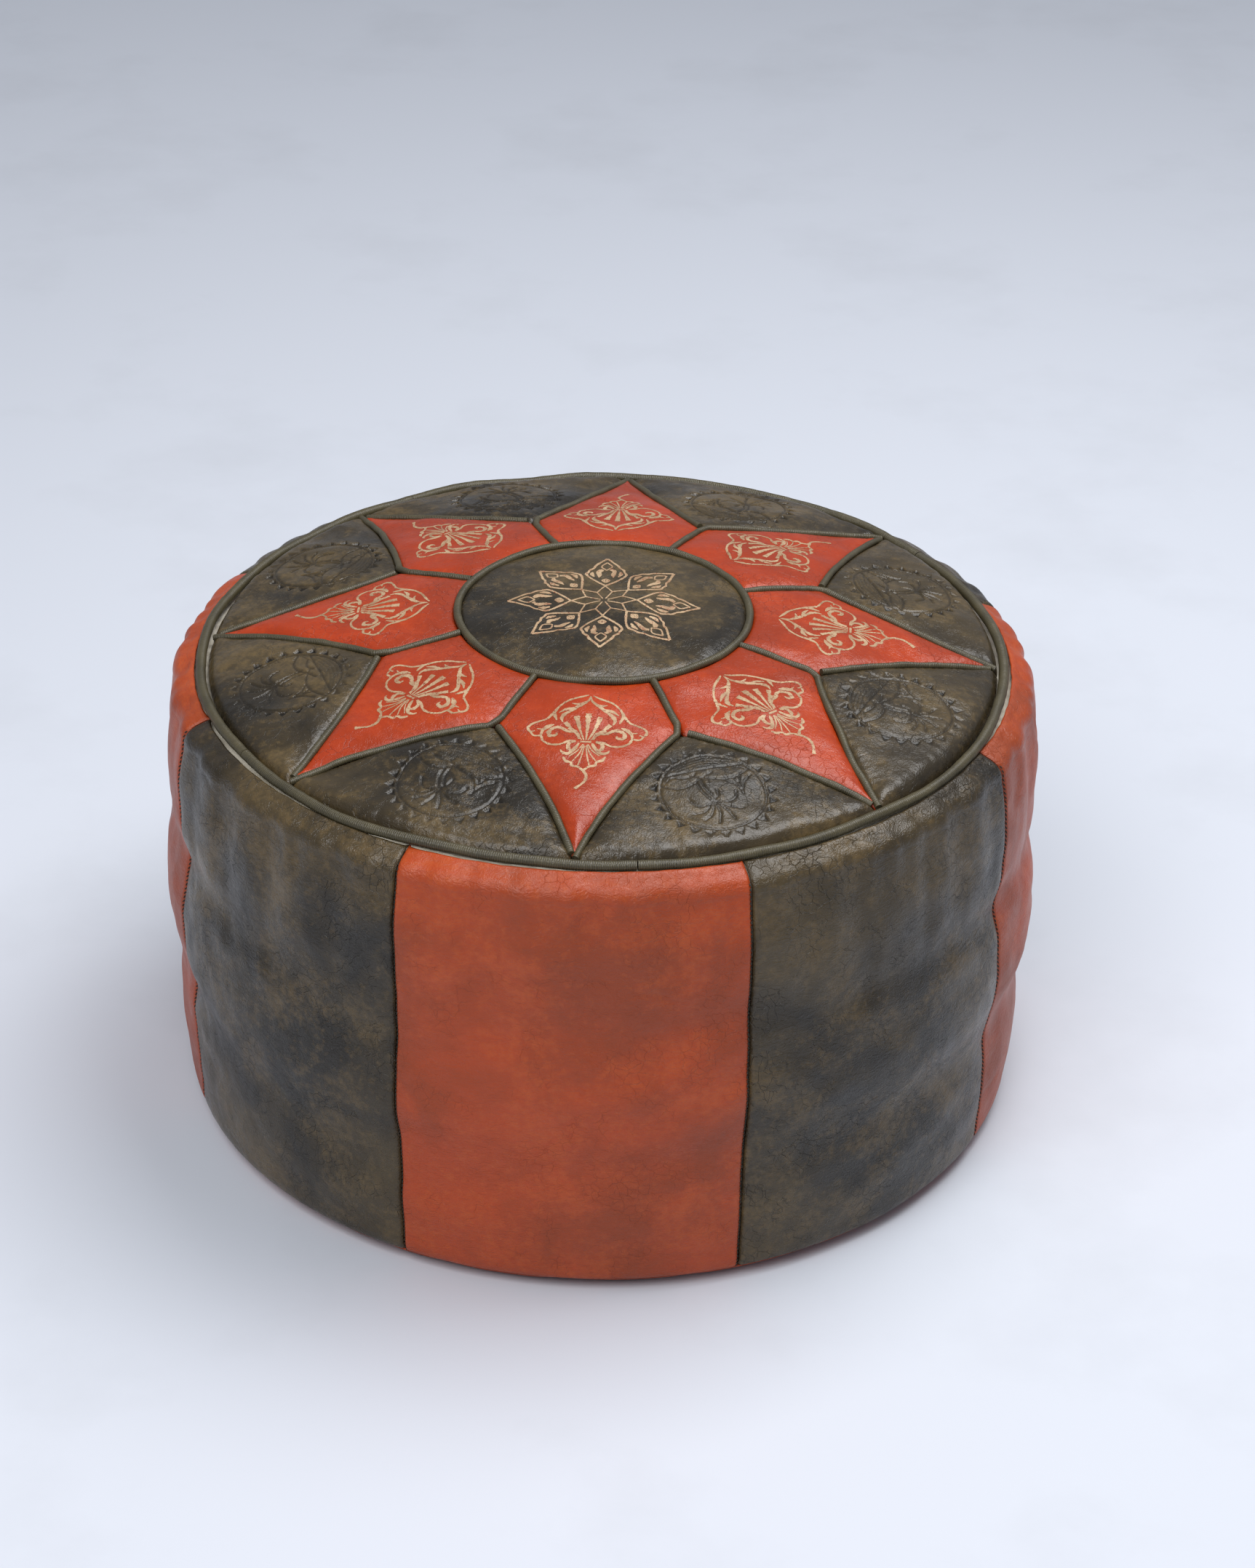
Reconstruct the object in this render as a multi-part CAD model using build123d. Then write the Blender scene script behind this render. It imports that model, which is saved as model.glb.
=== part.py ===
from build123d import *
import os
from math import cos, pi, radians, sin, sqrt

# A stuffed Moroccan pouf: a drum of goat leather with an eight-pointed star sewn into its crown,
# eight wall panels, piping on every top seam, and a two-part base that closes with a zip.
# Millimetres. The origin is on the floor under the middle of the drum, +Z is up, and -Y is the
# front, where the first star point ends. Places round the drum are given as an azimuth in
# degrees from the front, turning towards +X.

# ---- driving dimensions ----
POINTS = 8                 # star points, rim panels and wall panels
LEATHER = 1.6              # goat skin with its glued cotton backing
CROWN_Z = 334.0            # top of the crown
RIM_Z, RIM_R = 297.0, 254.0    # centre line of the rim piping
DISC_R = 92.3              # centre line of the piping round the centre disc
VALLEY_R = 146.7           # where two star points meet
TIP_R = 250.0              # where a star point reaches the rim
STAR_HOLLOW = 4.0          # how far a star point's long edge curves in
# outer line of the wall and base, as radius and height
PANEL_TOP, SHOULDER_MID, SHOULDER = (258.5, 299.0), (267.0, 295.6), (272.5, 285.0)
WALL_MID, FOOT, FOOT_MID = (277.0, 150.0), (272.0, 24.0), (270.8, 15.5)
HEM_R, HEM_Z = 268.5, 8.0  # seam between the wall and the base
HEM_SLOPE = 0.35           # the seam's cut drops this much for each millimetre outwards
BASE_MID, BASE_R = (262.5, 2.2), 254.0    # the base is flat on the floor out to the last
CROWN_EDGE_R = 250.0       # where the crown leather turns down beside the rim piping

STAR_PIPE_R, DISC_PIPE_R, RIM_PIPE_R = 2.5, 3.0, 3.7
PIPE_WALL = 1.1            # folded leather strip round a cotton cord
CORD_GAP = 0.1
WELT_BEND = 7.0            # a long welt starts to turn this far from the valley
FIT_GAP = 0.3              # room between neighbouring pieces
SEAM_HALF_GAP = 0.8        # half the width of a wall seam
RIM_PIPE_JOINTS = (-55.0, 8.4, 128.0, 215.0)    # where the rim piping's strips meet

ZIP_LENGTH = 400.0
CHANNEL_TOP_HALF, CHANNEL_FOOT_HALF = 7.0, 30.0    # hollow over the zip: at its roof, on the floor
CHANNEL_HALF_LENGTH, CHANNEL_DEPTH = 222.0, 5.5
TAPE_HALF_WIDTH, TAPE_THICK, TAPE_OVERLAP = 16.0, 0.8, 6.0
CHAIN_IN, CHAIN_ROOT, CHAIN_OUT, CHAIN_THICK = 0.7, 2.2, 3.2, 2.6
TOOTH_PITCH, TOOTH_WIDTH = 3.0, 1.7
STOP_LENGTH = 4.0
SLIDER_LENGTH, SLIDER_WIDTH, PLATE = 14.0, 9.0, 1.0
SLIDER_WEB = 1.0
BAIL_LENGTH, BAIL_WIDTH, BAIL_DROP, BAIL_THICK = 6.0, 2.0, 2.6, 1.0
PULL_REACH, PULL_WIDTH, PULL_THICK = 22.0, 6.0, 1.2
PULL_PIN_R, PULL_EYE_HALF, PULL_EYE_REACH = 0.5, 1.5, 3.9
PULL_DROOP = 7.0           # degrees that the pull hangs below the zip at rest

STEP_ANGLE = 360 / POINTS
HALF_STEP = STEP_ANGLE / 2
CROWN = CROWN_Z - RIM_Z
DOME_R = (RIM_R**2 + CROWN**2) / (2 * CROWN)
DOME_CENTRE_Z = CROWN_Z - DOME_R
PIPE_SINK = LEATHER + 0.2  # how far a pipe reaches below the crown's surface
ZIP_Z = CHANNEL_DEPTH + LEATHER + FIT_GAP + TAPE_THICK / 2
BIG = 400.0


# ---- helpers ----
def around(shape, azimuth):
    """Turn a piece made at the front to its place round the drum."""
    return Rot(0, 0, azimuth) * shape


def flat_point(radius, azimuth):
    return Vector(radius * sin(radians(azimuth)), -radius * cos(radians(azimuth)), 0)


def dome_z(radius):
    return DOME_CENTRE_Z + sqrt(DOME_R**2 - radius**2)


def on_dome(point, lift=0.0):
    """The place above a point of the plan that is this far outside the crown's surface."""
    height = sqrt(DOME_R**2 - point.X**2 - point.Y**2)
    scale = (DOME_R + lift) / DOME_R
    return Vector(point.X * scale, point.Y * scale, DOME_CENTRE_Z + height * scale)


def star_edge(side, t):
    """A point in plan on the front star point's long edge, from its valley (0) to its tip (1)."""
    valley = flat_point(VALLEY_R, side * HALF_STEP)
    tip = flat_point(TIP_R, 0)
    along = tip - valley
    inward = Vector(0, 0, side).cross(along).normalized() * -1
    return valley + along * t + inward * (4 * STAR_HOLLOW * t * (1 - t))


def star_edge_arc(side, start=0.0, end=1.0):
    middle = (start + end) / 2
    return ThreePointArc(star_edge(side, start), star_edge(side, middle), star_edge(side, end))


def star_edge_path(side, start, end, lift):
    ends = [on_dome(star_edge(side, t), lift) for t in (start, (start + end) / 2, end)]
    return ThreePointArc(*ends)


def top_leather(outline):
    """Cut a plan outline out of the domed sheet of the crown."""
    sheet = Sphere(DOME_R) - Sphere(DOME_R - LEATHER)
    sheet = Pos(0, 0, DOME_CENTRE_Z) * sheet
    return extrude(Pos(0, 0, RIM_Z - 40) * outline, 2 * 40 + CROWN) & sheet


def pipe_section(radius):
    return Circle(radius) - Circle(radius - PIPE_WALL)


def cord_section(radius):
    """The cotton cord inside a pipe of this radius."""
    return Circle(radius - PIPE_WALL - CORD_GAP)


def swept(section, path):
    start = Plane(origin=path @ 0, z_dir=path % 0)
    return sweep(start * section, path=path)


def ring(radius, height, section, start=0.0, turn=360.0):
    """Turn a section round the drum's axis, from an azimuth."""
    face = Pos(radius, 0, height) * (Rot(90, 0, 0) * section)
    return around(revolve(face, Axis.Z, turn), start - 90)


def save(shape, name):
    export_step(shape, f"parts/{name}.step")


# ---- sections of the wall and base, radius along X and height along Z ----
def half_plane_arc(*points):
    return ThreePointArc(*[Vector(radius, 0, height) for radius, height in points])


def wall_line():
    return [half_plane_arc(PANEL_TOP, SHOULDER_MID, SHOULDER), half_plane_arc(SHOULDER, WALL_MID, FOOT),
            half_plane_arc(FOOT, FOOT_MID, (HEM_R, HEM_Z))]


def base_edge_line():
    return half_plane_arc((HEM_R, HEM_Z), BASE_MID, (BASE_R, 0))


def drum_face(inset=0.0):
    """Half section of the whole drum, drawn in by an inset all round but not at the axis."""
    notch = [(CROWN_EDGE_R, dome_z(CROWN_EDGE_R)), (RIM_R, RIM_Z - 2), PANEL_TOP]
    dome = half_plane_arc((0, CROWN_Z), (CROWN_EDGE_R / 2, dome_z(CROWN_EDGE_R / 2)), notch[0])
    rim = Polyline(*[Vector(radius, 0, height) for radius, height in notch])
    floor = Line((BASE_R, 0, 0), (0, 0, 0))
    axis = Line((0, 0, 0), (0, 0, CROWN_Z))
    half = make_face([axis, dome, rim, *wall_line(), base_edge_line(), floor])
    if inset == 0:
        return half
    whole = half + mirror(half, Plane.YZ)
    return offset(whole, -inset) & Plane.XZ * Pos(BIG / 2, BIG / 2) * Rectangle(BIG, 2 * BIG)


def hem_wedge(gap):
    """Everything on the base's side of the mitred hem, moved down by a gap."""
    depth = 20
    drop = HEM_SLOPE * depth
    corners = [(HEM_R + depth, HEM_Z - drop - gap), (HEM_R - depth, HEM_Z + drop - gap),
               (0, HEM_Z + drop - gap), (0, -depth), (HEM_R + depth, -depth)]
    return make_face(Polyline(*[Vector(r, 0, z) for r, z in corners], close=True))


def leather_section():
    return drum_face() - drum_face(LEATHER)


# ---- crown ----
def make_crown():
    disc = Circle(DISC_R - DISC_PIPE_R - FIT_GAP)
    save(top_leather(disc), "centre_disc")

    height = on_dome(Vector(DISC_R, 0, 0), DISC_PIPE_R - PIPE_SINK).Z
    save(ring(DISC_R, height, pipe_section(DISC_PIPE_R)), "centre_welt")
    save(ring(DISC_R, height, cord_section(DISC_PIPE_R)), "centre_welt_cord")

    clearance = STAR_PIPE_R + 0.4
    inner = DISC_R + DISC_PIPE_R + FIT_GAP - clearance
    outer = TIP_R + clearance
    star = make_face([
        ThreePointArc(*[flat_point(inner, a) for a in (-HALF_STEP, 0, HALF_STEP)]),
        Line(flat_point(inner, HALF_STEP), flat_point(VALLEY_R, HALF_STEP)),
        star_edge_arc(1), star_edge_arc(-1),
        Line(flat_point(VALLEY_R, -HALF_STEP), flat_point(inner, -HALF_STEP)),
    ])
    tips = [flat_point(outer, 0), flat_point(outer, HALF_STEP), flat_point(outer, STEP_ANGLE)]
    right_edge = star_edge_arc(1)
    left_edge = around(star_edge_arc(-1), STEP_ANGLE)
    rim = make_face([
        right_edge, left_edge, ThreePointArc(*tips),
        Line(flat_point(TIP_R, 0), tips[0]), Line(flat_point(TIP_R, STEP_ANGLE), tips[2]),
    ])
    star_piece = top_leather(offset(star, -clearance))
    rim_piece = top_leather(offset(rim, -clearance))
    for k in range(POINTS):
        save(around(star_piece, k * STEP_ANGLE), f"star_point_{k + 1}")
        save(around(rim_piece, k * STEP_ANGLE), f"rim_panel_{k + 1}")


def make_star_welts():
    """Each star point has a long welt from the centre disc round its right side to its tip, and a
    short one on its left side, which starts where it meets the neighbour's long one."""
    lift = STAR_PIPE_R - PIPE_SINK
    start_r = DISC_R + DISC_PIPE_R + FIT_GAP
    bend_share = WELT_BEND / (star_edge(1, 1) - star_edge(1, 0)).length
    start = on_dome(flat_point(start_r, HALF_STEP), lift)
    spoke = Line(start, on_dome(flat_point(VALLEY_R - WELT_BEND, HALF_STEP), lift))
    edge = star_edge_path(1, bend_share, 0.982, lift)
    long_path = Wire([spoke, TangentArc(spoke @ 1, edge @ 0, tangent=spoke % 1), edge])
    short_path = star_edge_path(-1, 0.045, 0.945, lift)
    tube, cord = pipe_section(STAR_PIPE_R), cord_section(STAR_PIPE_R)
    cords = []
    for path, name in ((long_path, "star_welt_long"), (short_path, "star_welt_short")):
        welt, core = swept(tube, path), swept(cord, path)
        for k in range(POINTS):
            save(around(welt, k * STEP_ANGLE), f"{name}_{k + 1}")
            cords.append(around(core, k * STEP_ANGLE))
    save(Compound(cords), "star_welt_cords")


def make_rim_welt():
    gap = FIT_GAP / RIM_R * 180 / pi
    for k, start in enumerate(RIM_PIPE_JOINTS):
        turn = (RIM_PIPE_JOINTS[(k + 1) % len(RIM_PIPE_JOINTS)] - start) % 360
        strip = ring(RIM_R, RIM_Z, pipe_section(RIM_PIPE_R), start, turn - gap)
        save(strip, f"rim_welt_{k + 1}")
    save(ring(RIM_R, RIM_Z, cord_section(RIM_PIPE_R)), "rim_welt_cord")


# ---- wall ----
def make_wall():
    inner = Plane.XZ * Pos(BASE_R / 2, BIG / 2) * Rectangle(BASE_R, 2 * BIG)
    section = leather_section() - hem_wedge(0) - inner
    notch_cut = Pos(RIM_R, 0, RIM_Z) * (Rot(90, 0, 0) * Circle(RIM_PIPE_R + FIT_GAP))
    section -= notch_cut
    section = section.faces().sort_by(Axis.X)[-1]
    gap = SEAM_HALF_GAP / SHOULDER[0] * 180 / pi
    panel = around(revolve(section, Axis.Z, STEP_ANGLE - 2 * gap), gap - HALF_STEP - 90)
    thread_line = (drum_face(0.3) - drum_face(LEATHER - 0.3)) & section
    thread_line = thread_line.faces().sort_by(Axis.X)[-1]
    thread = extrude(thread_line, 0.5, both=True)
    threads = []
    for k in range(POINTS):
        save(around(panel, k * STEP_ANGLE), f"side_panel_{k + 1}")
        threads.append(around(thread, (k + 0.5) * STEP_ANGLE - 90))
    save(Compound(threads), "side_seam_threads")


# ---- base ----
def channel(rise):
    """The hollow under the zip: a low hipped block standing on the floor, raised by a rise."""
    slope = CHANNEL_FOOT_HALF - CHANNEL_TOP_HALF
    foot = Rectangle(2 * (CHANNEL_HALF_LENGTH + slope), 2 * CHANNEL_FOOT_HALF)
    roof = Rectangle(2 * CHANNEL_HALF_LENGTH, 2 * CHANNEL_TOP_HALF)
    return loft([Pos(0, 0, rise) * foot, Pos(0, 0, rise + CHANNEL_DEPTH) * roof])


def make_base():
    section = leather_section() & hem_wedge(FIT_GAP)
    sheet = revolve(section, Axis.Z, 360)
    sheet = sheet + channel(LEATHER) - channel(0)
    slot = Box(2 * CHANNEL_HALF_LENGTH, 2 * CHANNEL_TOP_HALF, BIG)
    sheet -= slot
    for name, side in (("bottom_panel_front", -1), ("bottom_panel_back", 1)):
        keep = Pos(0, side * (BIG / 2 + FIT_GAP), 0) * Box(2 * BIG, BIG, BIG)
        save(sheet & keep, name)


def make_stuffing():
    inset = LEATHER + 0.7
    drum = revolve(drum_face(inset), Axis.Z, 360)
    tape_length = 2 * (CHANNEL_HALF_LENGTH + TAPE_OVERLAP)
    zip_room = Pos(0, 0, ZIP_Z) * Box(tape_length + 2, 2 * TAPE_HALF_WIDTH + 2, 6)
    save(drum - channel(inset) - zip_room, "stuffing")


# ---- zip ----
def chain_outline():
    """One side of the closed zip, seen from below: a bead with teeth towards the middle."""
    half = ZIP_LENGTH / 2
    count = int(ZIP_LENGTH / TOOTH_PITCH) - 1
    points = [(-half, CHAIN_OUT), (-half, CHAIN_ROOT)]
    for i in range(count):
        x = (i - (count - 1) / 2) * TOOTH_PITCH
        points += [(x - TOOTH_WIDTH / 2, CHAIN_ROOT), (x - TOOTH_WIDTH / 2, CHAIN_IN),
                   (x + TOOTH_WIDTH / 2, CHAIN_IN), (x + TOOTH_WIDTH / 2, CHAIN_ROOT)]
    points += [(half, CHAIN_ROOT), (half, CHAIN_OUT)]
    return make_face(Polyline(*points, close=True))


def make_zip():
    tape_width = TAPE_HALF_WIDTH - CHAIN_OUT
    tape_y = (TAPE_HALF_WIDTH + CHAIN_OUT) / 2
    tape_length = 2 * (CHANNEL_HALF_LENGTH + TAPE_OVERLAP)
    tape = Pos(0, tape_y, ZIP_Z) * Box(tape_length, tape_width, TAPE_THICK)
    chain = extrude(Pos(0, 0, ZIP_Z - CHAIN_THICK / 2) * chain_outline(), CHAIN_THICK)
    for name, turn in (("back", 0), ("front", 180)):
        save(Rot(0, 0, turn) * tape, f"zip_tape_{name}")
        save(Rot(0, 0, turn) * chain, f"zip_chain_{name}")

    stop_x = (ZIP_LENGTH + STOP_LENGTH) / 2
    top_stop = Box(STOP_LENGTH, CHAIN_OUT - CHAIN_IN, CHAIN_THICK)
    stop_y = (CHAIN_OUT + CHAIN_IN) / 2
    stops = [Pos(stop_x, side * stop_y, ZIP_Z) * top_stop for side in (-1, 1)]
    stops.append(Pos(-stop_x, 0, ZIP_Z) * Box(STOP_LENGTH, 2 * CHAIN_OUT, CHAIN_THICK))
    save(Compound(stops), "zip_end_stops")


def make_slider():
    """The slider at the closed end. Its plates hold the chain, and its web runs between the teeth."""
    x = ZIP_LENGTH / 2 - SLIDER_LENGTH / 2 - 1
    plate_gap = CHAIN_THICK / 2 + 0.2
    plate = fillet(Box(SLIDER_LENGTH, SLIDER_WIDTH, PLATE).edges().filter_by(Axis.Z), 2.5)
    plates = [Pos(0, 0, side * (plate_gap + PLATE / 2)) * plate for side in (-1, 1)]
    web = Box(SLIDER_LENGTH * 0.6, SLIDER_WEB, 2 * plate_gap + PLATE)
    lip_height = plate_gap - TAPE_THICK / 2 - 0.3
    lip_y = CHAIN_OUT + 0.3 + 0.5
    lip = Box(SLIDER_LENGTH - 5, 1, lip_height + PLATE / 2)
    lip_z = plate_gap - lip_height / 2 + PLATE / 4
    lips = [Pos(0, side_y * lip_y, side_z * lip_z) * lip for side_y in (-1, 1) for side_z in (-1, 1)]
    under = -plate_gap - PLATE
    bail = Box(BAIL_LENGTH, BAIL_WIDTH, BAIL_DROP + PLATE)
    bail = Pos(0, 0, under - BAIL_DROP / 2 + PLATE / 2) * bail
    eye = Pos(0, 0, under - (BAIL_DROP - BAIL_THICK) / 2) * Box(
        BAIL_LENGTH - 2 * BAIL_THICK, 2 * BAIL_WIDTH, BAIL_DROP - BAIL_THICK)
    body = plates[0] + plates[1] + web + lips[0] + lips[1] + lips[2] + lips[3] + (bail - eye)
    save(Pos(x, 0, ZIP_Z) * body, "zip_slider")

    pin_z = ZIP_Z + under - (BAIL_DROP - BAIL_THICK) / 2
    reach = PULL_REACH - PULL_WIDTH / 2
    tab = extrude(Pos(0, 0, -PULL_THICK / 2) * (
        Pos(-reach / 2, 0) * Rectangle(reach, PULL_WIDTH)
        + Pos(-reach, 0) * Circle(PULL_WIDTH / 2)
        - Pos(-reach, 0) * Circle(PULL_WIDTH / 5)
        - Pos(-PULL_EYE_REACH / 2 + 2, 0) * Rectangle(PULL_EYE_REACH + 4, 2 * PULL_EYE_HALF)), PULL_THICK)
    pin = Rot(90, 0, 0) * Cylinder(PULL_PIN_R, PULL_WIDTH)
    arm_ends = [Pos(0, side * (PULL_EYE_HALF + PULL_WIDTH / 2) / 2, 0) * (
        Rot(90, 0, 0) * Cylinder(PULL_THICK / 2, PULL_WIDTH / 2 - PULL_EYE_HALF)) for side in (-1, 1)]
    pull = Rot(0, -PULL_DROOP, 0) * (tab + pin + arm_ends[0] + arm_ends[1])
    save(Pos(x, 0, pin_z) * pull, "zip_pull")
    print(f"slider at x {x:.2f}, pull pin at z {pin_z:.3f}, zip mid-plane at z {ZIP_Z:.3f}")


os.makedirs("parts", exist_ok=True)
make_crown()
make_star_welts()
make_rim_welt()
make_wall()
make_base()
make_stuffing()
make_zip()
make_slider()
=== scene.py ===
import math

import bmesh
import bpy
import numpy as np
from bpy.props import FloatProperty, IntProperty, PointerProperty, StringProperty
from mathutils import Matrix, Vector
from mathutils.geometry import delaunay_2d_cdt


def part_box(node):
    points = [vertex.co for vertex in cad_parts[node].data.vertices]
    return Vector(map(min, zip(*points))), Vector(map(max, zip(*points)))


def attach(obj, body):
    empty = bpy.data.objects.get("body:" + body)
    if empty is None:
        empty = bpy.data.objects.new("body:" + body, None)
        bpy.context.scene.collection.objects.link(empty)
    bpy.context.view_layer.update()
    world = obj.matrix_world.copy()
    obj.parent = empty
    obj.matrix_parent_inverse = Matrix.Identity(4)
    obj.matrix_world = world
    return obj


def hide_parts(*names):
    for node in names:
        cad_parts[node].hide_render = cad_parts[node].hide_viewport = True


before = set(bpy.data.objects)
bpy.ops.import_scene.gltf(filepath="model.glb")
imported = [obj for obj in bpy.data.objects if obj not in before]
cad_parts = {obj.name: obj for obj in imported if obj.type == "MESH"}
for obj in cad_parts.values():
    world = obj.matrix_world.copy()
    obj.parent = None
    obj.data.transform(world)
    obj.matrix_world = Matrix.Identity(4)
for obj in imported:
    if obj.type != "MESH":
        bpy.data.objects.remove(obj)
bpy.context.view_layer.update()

bl_info = {
    "name": "Moroccan leather pouf",
    "version": (1, 0, 0),
    "blender": (4, 5, 0),
    "location": "3D View > Sidebar > Pouf",
    "description": "Dresses the pouf's frame in stuffed, piped and gilded goat leather",
    "category": "Object",
}

MM = 0.001
BODY = "pouf"

# ---- sizes from the frame ----
POINTS = sum(name.startswith("star_point_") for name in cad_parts)
STEP = 2 * math.pi / POINTS
_cord_low, _cord_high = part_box("rim_welt_cord")
_ring_low, _ring_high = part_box("centre_welt")
_chain_low, _chain_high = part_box("zip_chain_back")
_tape_low, _tape_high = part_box("zip_tape_back")
_base_low, _base_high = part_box("bottom_panel_back")
_wall_low, _wall_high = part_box("side_panel_1")
RIM_Z = (_cord_low.z + _cord_high.z) / 2
RIM_R = _cord_high.x - (_cord_high.z - _cord_low.z) / 2
CROWN_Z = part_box("centre_disc")[1].z
DISC_PIPE_R = (_ring_high.z - _ring_low.z) / 2
DISC_R = _ring_high.x - DISC_PIPE_R
WALL_MID_R = -_wall_low.y
HEM_R = _base_high.x
CROWN_RISE = CROWN_Z - RIM_Z
DOME_R = (RIM_R**2 + CROWN_RISE**2) / (2 * CROWN_RISE)
DOME_CENTRE_Z = CROWN_Z - DOME_R

# ---- sizes of the leatherwork, which the frame's boxes don't give ----
VALLEY_R = 146.7 * MM          # where two star points meet
TIP_R = 250 * MM               # where a star point reaches the rim
STAR_HOLLOW = 4 * MM           # how far a star point's long edge curves in
STAR_PIPE_R = 2.5 * MM
RIM_PIPE_R = 3.7 * MM
RIM_PIPE_JOINTS = (-55.0, 8.4, 128.0, 215.0)    # azimuths where the rim piping's strips meet
LEATHER = 1.6 * MM
SEAM_ROOM = 0.35 * MM          # from a seam's line to the edge of the leather beside it
PANEL_EDGE_R = 250.6 * MM      # where the crown's leather turns down beside the rim piping
# section of the wall's outer face, as radius and height in millimetres
SHOULDER = ((258.1, 296.4), (266.6, 296.8), (273.0, 285.0))
WALL = ((273.0, 285.0), (277.0, 150.0), (272.0, 24.0))
FOOT = ((272.0, 24.0), (271.0, 15.5), (268.4, 8.2))
CHANNEL_TOP_HALF, CHANNEL_FOOT_HALF = 7 * MM, 30 * MM
CHANNEL_DEPTH, CHANNEL_HALF_LENGTH = 5.5 * MM, 222 * MM
BASE_FLAT_R = 254 * MM

CAMERA_AZIMUTH, CAMERA_ELEVATION, CAMERA_DISTANCE = 3.65, 31.68, 2.53
CAMERA_TARGET_Z = 0.15
CAMERA_PAN, CAMERA_TILT, CAMERA_ROLL = 0.38, 1.02, 0.64
CAMERA_LENS = 88.7

FOIL_LIFT, FOIL_SUNK = 0.16 * MM, 0.5 * MM       # the gold's top above the leather, its underside in it
STITCH_LENGTH, STITCH_THICKNESS = 2.3 * MM, 0.9 * MM
STITCH_ASIDE, STITCH_PROUD = 1.2 * MM, 0.45 * MM
WADDING_INSET = 7 * MM


# ---- colour and nodes ----
def linear(code, alpha=1.0):
    """An sRGB hex colour as linear RGBA."""
    parts = [int(code[i:i + 2], 16) / 255 for i in (1, 3, 5)]
    return [c / 12.92 if c <= 0.04045 else ((c + 0.055) / 1.055) ** 2.4 for c in parts] + [alpha]


def add_node(tree, kind, sockets=None, **settings):
    """Adds a node. Each socket gets a value, or a link if it is given another node's output."""
    made = tree.nodes.new(kind)
    for name, value in settings.items():
        setattr(made, name, value)
    for key, value in (sockets or {}).items():
        if isinstance(value, bpy.types.NodeSocket):
            tree.links.new(value, made.inputs[key])
        else:
            made.inputs[key].default_value = value
    return made


def add_sum(tree, operation, first, second=0.0):
    return add_node(tree, "ShaderNodeMath", {0: first, 1: second}, operation=operation).outputs[0]


def per_metre(size_mm):
    """The texture scale that makes a feature of this many millimetres."""
    return 1 / (size_mm * MM)


# ---- random but repeatable waves ----
def waves(points, size, seed, count=20):
    """Smooth noise of about -1 to 1, from plane waves whose lengths are near size."""
    rng = np.random.default_rng(seed)
    directions = unit(rng.normal(size=(count, points.shape[-1])))
    lengths = size * rng.uniform(0.6, 1.7, count)
    phases = rng.uniform(0, 2 * math.pi, count)
    total = np.zeros(points.shape[:-1])
    for direction, length, phase in zip(directions, lengths, phases):
        total += np.sin((points @ direction) * (2 * math.pi / length) + phase)
    return total * math.sqrt(2 / count) * 0.7


def smooth(x, low, high):
    t = np.clip((x - low) / (high - low), 0, 1)
    return t * t * (3 - 2 * t)


def hump(x, width):
    return np.exp(-(x / width) ** 2)


# ---- plan of the crown ----
def plan_point(radius, azimuth):
    return np.stack([radius * np.sin(azimuth), -radius * np.cos(azimuth)], axis=-1)


def space_point(radius, azimuth, height):
    return np.concatenate([plan_point(radius, azimuth), height[..., None]], -1)


def turned(points, angle):
    """Plan points turned about the middle."""
    c, s = math.cos(angle), math.sin(angle)
    return np.stack([points[:, 0] * c - points[:, 1] * s, points[:, 0] * s + points[:, 1] * c], 1)


def unit(vectors, floor=0.0):
    return vectors / np.maximum(np.linalg.norm(vectors, axis=1), floor)[:, None]


def dome_height(radius):
    """Height of the crown's plain dome, before it is puffed and sewn down."""
    return DOME_CENTRE_Z + np.sqrt(DOME_R**2 - radius**2)


def star_edge(side, t):
    """Points on the front star point's long edge, from its valley at t 0 to its tip at t 1."""
    valley, tip = plan_point(VALLEY_R, side * STEP / 2), plan_point(TIP_R, 0.0)
    along = tip - valley
    inward = np.array([-along[1], along[0]]) / np.linalg.norm(along) * -side
    t = np.asarray(t)[:, None]
    return valley + along * t + inward * (4 * STAR_HOLLOW * t * (1 - t))


def arc_points(radius, start, end, spacing=1.2 * MM):
    count = max(2, int(abs(end - start) * radius / spacing))
    return plan_point(radius, np.linspace(start, end, count))


def line_points(a, b, spacing=1.2 * MM):
    count = max(2, int(np.linalg.norm(b - a) / spacing))
    return a + (b - a) * np.linspace(0, 1, count)[:, None]


def distance_to_line(points, line):
    """Least distance from each point to a polyline, and how far along the line that is."""
    best = np.full(len(points), 1e9)
    along = np.zeros(len(points))
    start = 0.0
    for a, b in zip(line[:-1], line[1:]):
        edge = b - a
        length = np.linalg.norm(edge)
        if length < 1e-9:
            continue
        t = np.clip((points - a) @ edge / length**2, 0, 1)
        d = np.linalg.norm(points - a - t[:, None] * edge, axis=1)
        near = d < best
        best[near] = d[near]
        along[near] = start + t[near] * length
        start += length
    return best, along


EDGE_T = np.linspace(0, 1, 17)
HALF_SEAM = np.vstack([plan_point(np.array([DISC_R, VALLEY_R]), np.full(2, STEP / 2)),
                       star_edge(1, EDGE_T)[1:]])


def fold(points):
    """Plan points mirrored into the right half of the front star point's sector."""
    radius = np.linalg.norm(points, axis=1)
    azimuth = np.arctan2(points[:, 0], -points[:, 1])
    azimuth = np.abs((azimuth + STEP / 2) % STEP - STEP / 2)
    return plan_point(radius, azimuth), radius


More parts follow.
